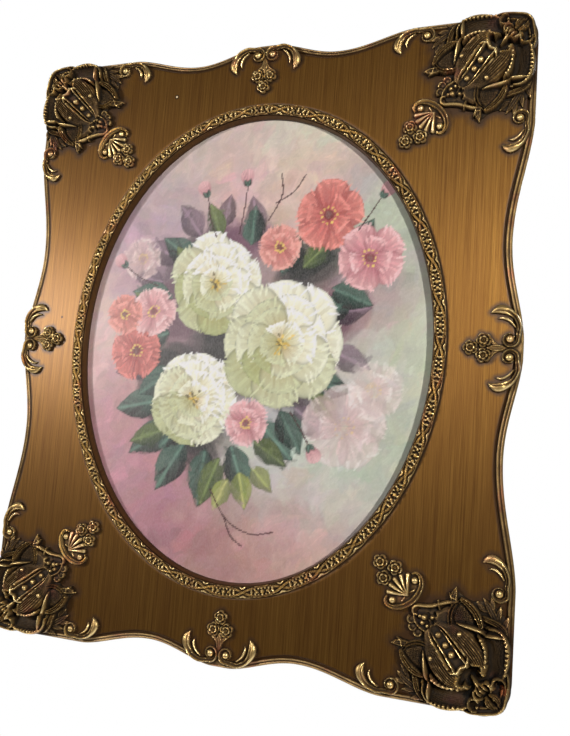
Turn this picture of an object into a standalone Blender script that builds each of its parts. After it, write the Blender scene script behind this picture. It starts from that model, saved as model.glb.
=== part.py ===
"""An oval oil painting in a shaped wooden frame with cast and gilded ornaments.

Metres, +Z up. The painting faces -Y and the flat back lies on y = 0. The origin is the middle
of the top rail's back, where the frame rests against what it hangs on.
"""

import math

import bmesh
import bpy
from mathutils import Matrix, Vector

# Oval opening of 16 by 20 inches, and the painted board behind it
OPENING_WIDTH = 0.4064
OPENING_HEIGHT = 0.5080
BOARD_OVERLAP = 0.0050
BOARD_THICKNESS = 0.0040
BOARD_PLAY = 0.0015

# From the opening's edge outwards
LIP_THICKNESS = 0.0022
COVE_WIDTH = 0.0025
BRAID_WIDTH = 0.0120
BRAID_HEIGHT = 0.0042
BRAID_REPEATS = 34

# Rails and section of the frame
SIDE_RAIL = 0.0750
TOP_RAIL = 0.0720
FRAME_DEPTH = 0.0300
BOARD_SETBACK = 0.0215
CORNER_RADIUS = 0.0320
BACK_TAPER = 0.0080
RIM_WIDTH = 0.0062
RIM_DROP = 0.0045
GROOVE_WIDTH = 0.0024
GROOVE_DEPTH = 0.0026

# Serpentine edge: each dip's depth, its place from the middle and its reach to both sides
SIDE_DIP = 0.0165
SIDE_DIP_PLACE = 0.1060
SIDE_DIP_INNER = 0.0980
SIDE_DIP_OUTER = 0.1220
SIDE_MIDDLE_DROP = 0.0020
TOP_DIP = 0.0160
TOP_DIP_PLACE = 0.0850
TOP_DIP_INNER = 0.0750
TOP_DIP_OUTER = 0.0850
DIP_ROUNDNESS = 0.8

# Castings: the glue line under them, and the share of the corner's diagonal that they take
GLUE_LINE = 0.0003
CASTING_SHARE = 0.935
CASTING_REACH = 190.0

# Where the frame rests on what it hangs on, above the oval's centre
HANG_HEIGHT = 0.3000

# Mesh steps of each quarter: straight side, rounded corner, top
SIDE_STEPS = 10
CORNER_STEPS = 4
TOP_STEPS = 7
BOARD_SIDES = 40

# Welding of the castings' joints, in drawing units and radians
WELD = 0.0001
FLAT_ANGLE = 0.15

# Notch between a rose's petals, and its sunk middle, as shares of its reach and its height
PETAL_NOTCH = 0.64
ROSE_MIDDLE = 0.5

# Ribbons of the braid where they cross and where they part: half spread, then height
BRAID_STATIONS = ((0.32, 1.0), (0.80, 0.78))

# Sections of a casting's strap, as shares of its half width and its height
BAND = ((-1.0, 0.0), (-0.62, 1.0), (0.62, 1.0), (1.0, 0.0))
RIB = ((-1.0, 0.0), (0.0, 1.0), (1.0, 0.0))
LEAF = ((-1.0, 0.0), (-0.66, 1.0), (0.0, 0.6), (0.66, 1.0), (1.0, 0.0))
TRAY = (
    (-1.0, 0.0), (-1.0, 1.0), (-0.74, 1.0), (-0.6, 0.8),
    (0.6, 0.8), (0.74, 1.0), (1.0, 1.0), (1.0, 0.0),
)


def oval(margin):
    """Half width and half height of the oval that lies this far outside the opening's edge."""
    return OPENING_WIDTH / 2 + margin, OPENING_HEIGHT / 2 + margin


BRAID_INSIDE = COVE_WIDTH
BRAID_OUTSIDE = BRAID_INSIDE + BRAID_WIDTH
HALF_WIDTH = oval(BRAID_OUTSIDE)[0] + SIDE_RAIL
HALF_HEIGHT = oval(BRAID_OUTSIDE)[1] + TOP_RAIL
DIAGONAL = math.sqrt(0.5)


def corner_space():
    """Distance from the frame's corner to the braid, along the corner's diagonal."""
    a, b = oval(BRAID_OUTSIDE)
    span = math.hypot(a, b)
    tangent_point = (a * a / span, b * b / span)
    across = (HALF_WIDTH - tangent_point[0]) * DIAGONAL
    up = (HALF_HEIGHT - tangent_point[1]) * DIAGONAL
    return across + up


# Castings are drawn in this unit, a millimetre at the drawn size
UNIT = CASTING_SHARE * corner_space() / CASTING_REACH


def clear_scene():
    for item in list(bpy.data.objects):
        bpy.data.objects.remove(item)


def material(name, colour, roughness, metallic):
    made = bpy.data.materials.new(name)
    made.use_nodes = True
    shader = made.node_tree.nodes["Principled BSDF"]
    shader.inputs["Base Color"].default_value = (*colour, 1.0)
    shader.inputs["Roughness"].default_value = roughness
    shader.inputs["Metallic"].default_value = metallic
    return made


def dip(distance, place, inner, outer):
    """How far into a dip of the edge a point is, from 0 at its ends to 1 at its deepest."""
    reach = inner if distance < place else outer
    share = min(abs(distance - place) / reach, 1.0)
    return (0.5 + 0.5 * math.cos(math.pi * share)) ** DIP_ROUNDNESS


def side_edge(height):
    low = dip(height, SIDE_DIP_PLACE, SIDE_DIP_INNER, SIDE_DIP_OUTER)
    middle = 0.5 + 0.5 * math.cos(math.pi * min(height / SIDE_DIP_PLACE, 1.0))
    return HALF_WIDTH - SIDE_DIP * low - SIDE_MIDDLE_DROP * middle


def top_edge(across):
    low = dip(across, TOP_DIP_PLACE, TOP_DIP_INNER, TOP_DIP_OUTER)
    return HALF_HEIGHT - TOP_DIP * low


def quarter_outline():
    """Points of the edge from the middle of a side to just before the middle of the top."""
    points = []
    straight = HALF_HEIGHT - CORNER_RADIUS
    for step in range(SIDE_STEPS):
        height = straight * step / SIDE_STEPS
        points.append((side_edge(height), height))
    for step in range(CORNER_STEPS):
        angle = math.pi / 2 * step / CORNER_STEPS
        points.append((
            HALF_WIDTH - CORNER_RADIUS * (1 - math.cos(angle)),
            straight + CORNER_RADIUS * math.sin(angle),
        ))
    for step in range(TOP_STEPS):
        across = (HALF_WIDTH - CORNER_RADIUS) * (1 - step / TOP_STEPS)
        points.append((across, top_edge(across)))
    return points


def all_quarters(quarter, last):
    """The closed loop made of a quarter and its three mirror images; last is its end point."""
    back = [last, *reversed(quarter[1:])]
    loop = list(quarter)
    loop += [(-x, z) for x, z in back]
    loop += [(-x, -z) for x, z in quarter]
    loop += [(x, -z) for x, z in back]
    return loop


def outline_loop(inset, depth):
    """The frame's edge, moved inwards by inset, at this depth in front of the back."""
    flat = all_quarters(quarter_outline(), (0.0, top_edge(0.0)))
    points = []
    for index, (x, z) in enumerate(flat):
        before = Vector(flat[index - 1])
        after = Vector(flat[(index + 1) % len(flat)])
        along = (after - before).normalized()
        points.append(Vector((x - along.y * inset, -depth, z + along.x * inset)))
    return points


def oval_loop(margin, depth, count):
    a, b = oval(margin)
    angles = [2 * math.pi * step / count for step in range(count)]
    return [Vector((a * math.cos(t), -depth, b * math.sin(t))) for t in angles]


def skin(loops, closed):
    """A mesh whose faces join each loop of points to the next; closed joins the last to the first."""
    bm = bmesh.new()
    rows = [[bm.verts.new(point) for point in loop] for loop in loops]
    pairs = list(zip(rows, rows[1:]))
    if closed:
        pairs.append((rows[-1], rows[0]))
    for first, second in pairs:
        for index in range(len(first)):
            following = (index + 1) % len(first)
            bm.faces.new((first[index], first[following], second[following], second[index]))
    if not closed:
        bm.faces.new(rows[0])
        bm.faces.new(rows[-1])
    bmesh.ops.recalc_face_normals(bm, faces=bm.faces)
    return bm


def mesh_from(name, bm):
    mesh = bpy.data.meshes.new(name)
    bm.to_mesh(mesh)
    bm.free()
    return mesh


def place(name, mesh, finish, centre, smooth_angle=math.radians(40)):
    item = bpy.data.objects.new(name, mesh)
    bpy.context.scene.collection.objects.link(item)
    item.parent = centre
    mesh.materials.clear()
    mesh.materials.append(finish)
    mesh.shade_smooth()
    mesh.set_sharp_from_angle(angle=smooth_angle)
    return item


def frame_mesh():
    face = FRAME_DEPTH
    floor = FRAME_DEPTH - GROOVE_DEPTH
    count = 4 * (SIDE_STEPS + CORNER_STEPS + TOP_STEPS)
    underside = BOARD_SETBACK + GLUE_LINE
    lip_front = underside + LIP_THICKNESS
    loops = [
        outline_loop(BACK_TAPER, 0.0),
        outline_loop(0.0, face - RIM_DROP),
        outline_loop(RIM_WIDTH / 2, face),
        outline_loop(RIM_WIDTH + GROOVE_WIDTH / 2, floor),
        outline_loop(RIM_WIDTH + GROOVE_WIDTH, face),
        oval_loop(BRAID_INSIDE, face, count),
        oval_loop(0.0, lip_front, count),
        oval_loop(0.0, underside, count),
        oval_loop(BOARD_OVERLAP + BOARD_PLAY, underside, count),
        oval_loop(BOARD_OVERLAP + BOARD_PLAY, 0.0, count),
    ]
    return mesh_from("frame", skin(loops, closed=True))


def board_mesh():
    front = oval_loop(BOARD_OVERLAP, BOARD_SETBACK, BOARD_SIDES)
    back = oval_loop(BOARD_OVERLAP, BOARD_SETBACK - BOARD_THICKNESS, BOARD_SIDES)
    return mesh_from("painted_panel", skin([back, front], closed=False))


def braid_mesh():
    """Two ribbons that cross and part round a small flower, once each repeat."""
    seat = FRAME_DEPTH + GLUE_LINE
    middle = (BRAID_INSIDE + BRAID_OUTSIDE) / 2
    half = BRAID_WIDTH / 2
    count = BRAID_REPEATS * len(BRAID_STATIONS)
    edges = ((-1.0, 0.0), (-1.0, 1.0), (1.0, 1.0), (1.0, 0.0))
    bm = bmesh.new()
    rows = []
    for step in range(count):
        spread, rise = BRAID_STATIONS[step % len(BRAID_STATIONS)]
        row = []
        for side, top in edges:
            share = spread if top else 0.9 + 0.1 * spread
            depth = seat + top * BRAID_HEIGHT * rise
            row.append(bm.verts.new(oval_loop(middle + side * half * share, depth, count)[step]))
        rows.append(row)
    for index, row in enumerate(rows):
        following = rows[(index + 1) % count]
        for corner in range(len(edges)):
            other = (corner + 1) % len(edges)
            bm.faces.new((row[corner], row[other], following[other], following[corner]))
    bmesh.ops.recalc_face_normals(bm, faces=bm.faces)
    return mesh_from("oval_braid", bm)


def curl(centre, start, sweep, radius, last_radius, steps):
    """A spiral round centre, from the start angle in degrees through the sweep, ends included."""
    points = []
    for step in range(steps + 1):
        share = step / steps
        angle = math.radians(start + sweep * share)
        reach = radius + (last_radius - radius) * share
        points.append((centre[0] + reach * math.cos(angle), centre[1] + reach * math.sin(angle)))
    return points


def spread_values(values, count):
    """The list of values, read evenly at this many places."""
    found = []
    for index in range(count):
        place_on = index / (count - 1) * (len(values) - 1)
        low = min(int(place_on), len(values) - 2)
        share = place_on - low
        found.append(values[low] * (1 - share) + values[low + 1] * share)
    return found


def strap(path, half_widths, heights, section=BAND):
    """A closed solid that follows a plan path, flat below, with its section's shape above."""
    path = [Vector(p) for p in path]
    half_widths = spread_values(half_widths, len(path))
    heights = spread_values(heights, len(path))
    loops = []
    for index, point in enumerate(path):
        before = path[max(index - 1, 0)]
        after = path[min(index + 1, len(path) - 1)]
        along = (after - before).normalized()
        side = Vector((-along.y, along.x))
        loop = []
        for across, rise in section:
            spot = point + side * across * half_widths[index]
            loop.append(Vector((spot.x, -rise * heights[index], spot.y)))
        loops.append(loop)
    return skin(loops, closed=False)


def round_points(centre, reaches, rise):
    """Points round a centre of the drawing, one for each reach, at this rise above the ground."""
    points = []
    for index, reach in enumerate(reaches):
        angle = 2 * math.pi * index / len(reaches)
        x = centre[0] + reach * math.cos(angle)
        points.append(Vector((x, -rise, centre[1] + reach * math.sin(angle))))
    return points


def dome(centre, radius, height, sides=6):
    wide = round_points(centre, [radius] * sides, 0.0)
    narrow = round_points(centre, [radius * 0.62] * sides, height)
    return skin([wide, narrow], closed=False)


def rose(centre, radius, height, turn):
    """A five-petalled flower with a sunk middle, turned by this angle in degrees."""
    reaches = [radius * share for share in (1.0, PETAL_NOTCH) * 5]
    low = round_points(centre, reaches, 0.0)
    high = round_points(centre, [reach * 0.88 for reach in reaches], height)
    bm = skin([low, high], closed=False)
    top = max(bm.faces, key=lambda face: -face.calc_center_median().y)
    poked = bmesh.ops.poke(bm, faces=[top])
    for vert in poked["verts"]:
        vert.co.y = -height * ROSE_MIDDLE
    middle = Vector((centre[0], 0.0, centre[1]))
    rotation = Matrix.Rotation(math.radians(turn), 3, "Y")
    bmesh.ops.rotate(bm, verts=bm.verts, cent=middle, matrix=rotation)
    return bm


def shell(apex, reach, half_angle, height, flutes=4):
    """A fan of flutes that opens from its apex along +X of the drawing."""
    count = 2 * flutes
    rim = []
    for step in range(count + 1):
        angle = math.radians(-half_angle + 2 * half_angle * step / count)
        length = reach * (1.0 if step % 2 else 0.88)
        rise = height * (1.0 if step % 2 else 0.6)
        rim.append((apex[0] + length * math.cos(angle), apex[1] + length * math.sin(angle), rise))
    bm = bmesh.new()
    low = [bm.verts.new((x, 0.0, z)) for x, z, _ in rim]
    high = [bm.verts.new((x, -rise, z)) for x, z, rise in rim]
    foot = bm.verts.new((apex[0], 0.0, apex[1]))
    peak = bm.verts.new((apex[0], -height * 0.8, apex[1]))
    for index in range(count):
        bm.faces.new((low[index], low[index + 1], high[index + 1], high[index]))
        bm.faces.new((high[index], high[index + 1], peak))
    bm.faces.new((low[0], high[0], peak, foot))
    bm.faces.new((low[-1], foot, peak, high[-1]))
    bm.faces.new((foot, *reversed(low)))
    bmesh.ops.recalc_face_normals(bm, faces=bm.faces)
    return bm


def plate(outline, thickness):
    """A flat ground with drawn-in edges, from its outline in the drawing."""
    low = [Vector((x, 0.0, z)) for x, z in outline]
    high = [Vector((x, -thickness, z)) for x, z in outline]
    return skin([low, high], closed=False)


def mirrored_across(points):
    return [(x, -z) for x, z in points]


def merged_flats(mesh):
    """The mesh with the seams that its joints left in flat faces taken out."""
    bm = bmesh.new()
    bm.from_mesh(mesh)
    bmesh.ops.remove_doubles(bm, verts=bm.verts, dist=WELD)
    bmesh.ops.dissolve_limit(bm, angle_limit=FLAT_ANGLE, verts=bm.verts, edges=bm.edges)
    bmesh.ops.triangulate(bm, faces=bm.faces)
    bm.to_mesh(mesh)
    bm.free()
    return mesh


def fuse(name, solids):
    """One closed body from solids that overlap, drawn in units along and across."""
    temporary = []
    for index, solid in enumerate(solids):
        item = bpy.data.objects.new(f"{name}_{index}", mesh_from(f"{name}_{index}", solid))
        bpy.context.scene.collection.objects.link(item)
        temporary.append(item)
    body = temporary[0]
    for other in temporary[1:]:
        joint = body.modifiers.new("join", "BOOLEAN")
        joint.operation = "UNION"
        joint.solver = "EXACT"
        joint.object = other
    graph = bpy.context.evaluated_depsgraph_get()
    mesh = bpy.data.meshes.new_from_object(body.evaluated_get(graph), depsgraph=graph)
    for item in temporary:
        bpy.data.objects.remove(item)
    return merged_flats(mesh)


def lay(name, mesh, spot):
    """A copy of a drawn casting whose points are moved by spot onto the frame's face."""
    bm = bmesh.new()
    bm.from_mesh(mesh)
    seat = -(FRAME_DEPTH + GLUE_LINE)
    for vert in bm.verts:
        x, z = spot(vert.co.x * UNIT, vert.co.z * UNIT)
        vert.co = Vector((x, seat + vert.co.y * UNIT, z))
    if bm.calc_volume(signed=True) < 0:
        bmesh.ops.reverse_faces(bm, faces=bm.faces)
    return mesh_from(name, bm)


def corner_spot(right, up):
    """Drawing along and across a corner's diagonal, from the corner inwards."""
    def spot(along, across):
        x = HALF_WIDTH - (along + across) * DIAGONAL
        z = HALF_HEIGHT - (along - across) * DIAGONAL
        return right * x, up * z
    return spot


def side_spot(right, up, from_middle):
    """Drawing along a side rail's edge and in from it."""
    def spot(along, inwards):
        z = along if from_middle else HALF_HEIGHT - along
        return right * (HALF_WIDTH - inwards), up * z
    return spot


def top_spot(right, up, from_middle):
    """Drawing along a top or bottom rail's edge and in from it."""
    def spot(along, inwards):
        x = along if from_middle else HALF_WIDTH - along
        return right * x, up * (HALF_HEIGHT - inwards)
    return spot


def volute(ball, stem, ball_radius, ring_radius, relief):
    """A strap that curls round a ball and runs out along its stem into a broad leaf tip."""
    ring = curl(ball, -90.0, -300.0, ring_radius, ball_radius * 1.1, 5)
    path = [*ring[::-1], *stem]
    widths = [1.2, 1.5, 1.9, 2.1, 2.2, 2.4, 2.8, 4.2, 3.8, 0.6]
    heights = [relief, relief * 0.8, relief * 0.75, relief * 0.9, relief, relief * 0.9, relief * 0.5]
    return [strap(path, widths, heights), dome(ball, ball_radius, relief * 1.1)]


def flank_scroll():
    ball = (111.0, 14.0)
    stem = [(127.0, 4.4), (138.5, 8.5), (145.0, 15.5), (141.0, 21.5)]
    return fuse("flank_scroll", volute(ball, stem, 3.9, 7.4, 5.6))


def mid_spray():
    """Two volutes back to back, a bud between them and three roses that point inwards."""
    ball = (8.9, 14.4)
    stem = [(22.0, 6.2), (32.5, 13.0), (37.4, 23.5), (33.5, 31.5)]
    half = volute(ball, stem, 3.9, 7.4, 5.6)
    other = volute(ball, stem, 3.9, 7.4, 5.6)
    for solid in other:
        for vert in solid.verts:
            vert.co.x = -vert.co.x
        bmesh.ops.recalc_face_normals(solid, faces=solid.faces)
    bud = strap([(0.0, 18.0), (0.0, 26.0), (0.0, 47.0)], [1.5, 4.6, 2.4], [3.0, 4.6, 3.4], RIB)
    roses = [
        rose((-7.6, 39.0), 7.8, 5.4, 12.0),
        rose((7.6, 39.0), 7.8, 5.4, 24.0),
        rose((0.0, 51.5), 7.8, 5.4, 18.0),
    ]
    ground = strap([(0.0, 5.0), (0.0, 12.0), (0.0, 20.0)], [7.5, 7.5, 2.5], [1.6, 1.6, 1.6])
    return fuse("mid_spray", [ground, *half, *other, bud, *roses])


def corner_pendant():
    """A scroll with a ball at each end, a shell inside it and three roses beyond."""
    ball = (146.0, 14.8)
    half = [*curl(ball, 15.0, 120.0, 5.4, 5.6, 3), (137.0, 12.4), (134.2, 6.4)]
    path = [*half, (133.4, 0.0), *mirrored_across(half)[::-1]]
    widths = [0.9, 1.5, 2.1, 2.7, 2.1, 1.5, 0.9]
    balls = [dome(ball, 3.3, 5.4), dome((ball[0], -ball[1]), 3.3, 5.4)]
    fan = shell((138.0, 0.0), 22.0, 38.0, 6.4)
    roses = [
        rose((167.0, 7.7), 7.8, 5.4, 17.0),
        rose((167.0, -7.7), 7.8, 5.4, -17.0),
        rose((180.0, 0.0), 7.8, 5.4, 0.0),
    ]
    edge = [(178.0, 4.0), (160.0, 9.5), (146.0, 16.0), (135.0, 11.0)]
    ground = plate([*mirrored_across(edge)[::-1], *edge], 1.8)
    return fuse("corner_pendant", [ground, strap(path, widths, [5.0, 4.4, 4.4, 5.0]), *balls, fan, *roses])


def both_sides(make):
    """The solids of a maker that is called once for each side of the diagonal."""
    return [*make(1.0), *make(-1.0)]


def cartouche_side(side):
    """One half of the corner carving: body leaf, winged leaf, outer scroll, knob and sprig."""
    def turned(points):
        return [(x, side * z) for x, z in points]
    body = strap(
        turned([(103.0, 8.0), (88.0, 16.5), (72.0, 18.5), (58.0, 16.0), (47.0, 9.0)]),
        [2.5, 5.5, 7.0, 6.5, 3.5], [7.0, 11.0, 16.0, 19.0, 15.0])
    wing = strap(
        turned([(82.0, 18.0), (97.0, 23.5), (108.0, 33.0), (114.5, 40.0)]),
        [6.0, 8.6, 6.4, 1.6], [8.0, 8.4, 7.0, 5.0], LEAF)
    lobe = strap(
        turned([(100.0, 36.0), (88.0, 35.0), (74.0, 33.0)]), [2.6, 6.2, 3.4], [6.0, 9.5, 12.0], RIB)
    outer = strap(
        turned([(70.0, 34.0), (66.5, 40.0), (58.0, 43.0), (48.0, 39.5), (39.0, 31.0), (31.0, 19.0)]),
        [2.2, 3.2, 3.6, 3.6, 3.0, 2.0], [9.0, 12.0, 11.0, 13.0, 12.0, 10.0])
    knob = dome((36.0, side * 15.0), 4.6, 13.5)
    sprig = strap(
        turned([(64.0, 44.0), (81.0, 48.5), (93.0, 50.5)]), [2.4, 6.0, 1.4], [4.0, 5.0, 3.4], RIB)
    return [body, wing, lobe, outer, knob, sprig]


def corner_cartouche():
    half = [
        (117.0, 6.0), (106.0, 22.0), (96.0, 38.0), (76.0, 46.0),
        (58.0, 44.0), (36.0, 31.0), (18.0, 13.0),
    ]
    ground = plate([*half, *mirrored_across(half)[::-1]], 2.6)
    tongue = strap(
        [(101.5, 0.0), (93.0, 0.0), (68.0, 0.0), (61.0, 0.0)],
        [4.0, 6.8, 7.6, 9.5], [6.5, 9.0, 19.0, 23.5], TRAY)
    rim_half = [(124.5, 0.0), (119.5, 9.0), (112.0, 18.0), (108.0, 30.0)]
    border = strap(
        [*mirrored_across(rim_half)[:0:-1], *rim_half],
        [1.6, 2.6, 3.0, 2.6, 1.6], [5.0, 6.0, 5.0])
    knot = dome((37.0, 0.0), 6.2, 17.0)
    tip = dome((19.0, 0.0), 5.0, 10.0)
    bridge = strap([(62.0, 0.0), (48.0, 0.0), (20.0, 0.0)], [7.0, 4.0, 4.0], [9.0, 6.0, 7.0])
    beads = [dome((94.3, 0.0), 3.4, 11.5), dome((83.4, 0.0), 3.4, 16.0), dome((74.0, 0.0), 3.4, 20.5)]
    solids = [ground, tongue, border, bridge, knot, tip, *beads, *both_sides(cartouche_side)]
    return fuse("corner_cartouche", solids)


def build():
    clear_scene()
    centre = bpy.data.objects.new("oval_centre", None)
    bpy.context.scene.collection.objects.link(centre)
    centre.location = (0.0, 0.0, -HANG_HEIGHT)
    stained = material("stained_wood", (0.33, 0.17, 0.045), 0.42, 0.0)
    gilt = material("antique_gilt", (0.36, 0.26, 0.11), 0.38, 0.75)
    painted = material("painted_board", (0.70, 0.62, 0.60), 0.55, 0.0)
    place("frame", frame_mesh(), stained, centre)
    place("oval_braid", braid_mesh(), gilt, centre)
    place("painted_panel", board_mesh(), painted, centre)
    cartouche = corner_cartouche()
    pendant = corner_pendant()
    scroll = flank_scroll()
    spray = mid_spray()
    for up, level in ((1.0, "top"), (-1.0, "bottom")):
        for right, hand in ((1.0, "right"), (-1.0, "left")):
            where = f"{level}_{hand}"
            spot = corner_spot(right, up)
            place(f"cartouche_{where}", lay("cartouche", cartouche, spot), gilt, centre)
            place(f"pendant_{where}", lay("pendant", pendant, spot), gilt, centre)
            on_side = lay("side_scroll", scroll, side_spot(right, up, False))
            place(f"side_scroll_{where}", on_side, gilt, centre)
            on_rail = lay("rail_scroll", scroll, top_spot(right, up, False))
            place(f"rail_scroll_{where}", on_rail, gilt, centre)
    for sign, hand in ((1.0, "right"), (-1.0, "left")):
        place(f"spray_{hand}", lay("spray", spray, side_spot(sign, 1.0, True)), gilt, centre)
    for sign, level in ((1.0, "top"), (-1.0, "bottom")):
        place(f"spray_{level}", lay("spray", spray, top_spot(1.0, sign, True)), gilt, centre)


build()
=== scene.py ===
import math

import bmesh
import bpy
import numpy as np
from mathutils import Matrix, Vector


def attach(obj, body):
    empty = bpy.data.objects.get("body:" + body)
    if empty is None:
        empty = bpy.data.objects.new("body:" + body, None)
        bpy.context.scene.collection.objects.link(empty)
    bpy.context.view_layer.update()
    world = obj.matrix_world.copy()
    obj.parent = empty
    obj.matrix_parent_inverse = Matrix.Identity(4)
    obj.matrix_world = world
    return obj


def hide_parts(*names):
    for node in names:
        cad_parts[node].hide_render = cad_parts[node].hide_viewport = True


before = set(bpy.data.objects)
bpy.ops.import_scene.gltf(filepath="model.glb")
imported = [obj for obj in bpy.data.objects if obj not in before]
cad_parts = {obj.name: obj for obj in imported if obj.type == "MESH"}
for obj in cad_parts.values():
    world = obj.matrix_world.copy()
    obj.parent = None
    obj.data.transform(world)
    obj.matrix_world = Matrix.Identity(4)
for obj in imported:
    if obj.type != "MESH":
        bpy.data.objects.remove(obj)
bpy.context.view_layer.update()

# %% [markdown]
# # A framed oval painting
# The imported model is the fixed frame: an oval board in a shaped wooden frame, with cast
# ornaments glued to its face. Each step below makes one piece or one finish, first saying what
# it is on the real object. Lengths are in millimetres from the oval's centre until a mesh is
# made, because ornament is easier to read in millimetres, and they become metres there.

MM = 0.001
HANG = 300.0  # the hanging place is this far above the oval's centre
FACE = 30.0  # depth of the frame's flat face in front of its back
print("nodes", len(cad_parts))

# %% [markdown]
# ## Outline and oval
# The frame's edge dips in twice on each side and runs out to a rounded corner. A raised cosine
# gives each dip, so that the curve has no kinks, and the whole outline is one quarter mirrored
# four ways. The oval opening is 16 by 20 inches, and the board behind it is 5 mm larger all
# round.

# %% Driving sizes
OPENING = np.array([203.2, 254.0])  # half sizes of the oval opening
BOARD = OPENING + 5.0  # half sizes of the board behind it
BRAID_IN, BRAID_OUT = 2.5, 14.5  # margins outside the opening's edge
HALF = OPENING + BRAID_OUT + np.array([75.0, 72.0])
CORNER_RADIUS = 32.0
SIDE_DIP, SIDE_DIP_PLACE, SIDE_MIDDLE_DROP = 16.5, 106.0, 2.0
TOP_DIP, TOP_DIP_PLACE = 16.0, 85.0
SIDE_STEPS, CORNER_STEPS, TOP_STEPS = 116, 30, 82
print("opening", OPENING * 2, "mm, frame", HALF * 2, "mm")


# %% Outline and oval
def dip(distance, place, inner, outer):
    """How much of a dip is felt at this distance from the middle of a rail, from 0 to 1."""
    reach = inner if distance < place else outer
    share = min(abs(distance - place) / reach, 1.0)
    return (0.5 + 0.5 * math.cos(math.pi * share)) ** 0.8


def side_edge(z):
    middle = 0.5 + 0.5 * math.cos(math.pi * min(z / SIDE_DIP_PLACE, 1.0))
    return HALF[0] - SIDE_DIP * dip(z, SIDE_DIP_PLACE, 98.0, 122.0) - SIDE_MIDDLE_DROP * middle


def top_edge(x):
    return HALF[1] - TOP_DIP * dip(x, TOP_DIP_PLACE, 75.0, 85.0)


def outline():
    """Points of the frame's edge, anticlockwise from the middle of the right side."""
    straight = HALF[1] - CORNER_RADIUS
    quarter = [(side_edge(straight * i / SIDE_STEPS), straight * i / SIDE_STEPS) for i in range(SIDE_STEPS)]
    for i in range(CORNER_STEPS):
        turn = math.pi / 2 * i / CORNER_STEPS
        x = HALF[0] - CORNER_RADIUS * (1 - math.cos(turn))
        quarter.append((x, straight + CORNER_RADIUS * math.sin(turn)))
    for i in range(TOP_STEPS):
        x = (HALF[0] - CORNER_RADIUS) * (1 - i / TOP_STEPS)
        quarter.append((x, top_edge(x)))
    quarter = np.array(quarter)
    back = np.vstack([[(0.0, top_edge(0.0))], quarter[:0:-1]])
    return np.vstack([quarter, back * (-1, 1), quarter * (-1, -1), back * (1, -1)])


EDGE = outline()
ALONG = np.roll(EDGE, -1, 0) - np.roll(EDGE, 1, 0)
ALONG /= np.linalg.norm(ALONG, axis=1)[:, None]
INWARD = np.stack([-ALONG[:, 1], ALONG[:, 0]], 1)
TURN = 2 * np.pi * np.arange(len(EDGE)) / len(EDGE)


def oval(margin):
    """The oval that lies this far outside the opening's edge, one point for each edge point."""
    a, b = OPENING + margin
    return np.stack([a * np.cos(TURN), b * np.sin(TURN)], 1)


print("outline", len(EDGE), "points")

# %% [markdown]
# ## Relief field
# Cast ornament comes out of a mould, so nothing on it hangs over: seen from the front each
# point has one height. That makes a field of heights a true way to build it. Every strap,
# leaf, ball and rose below raises the field where it lies, and the highest form wins, as in
# carving. A second field keeps how far each point is inside the outline, so that the cut edge
# can be moved onto the true outline and stays smooth.


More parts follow.
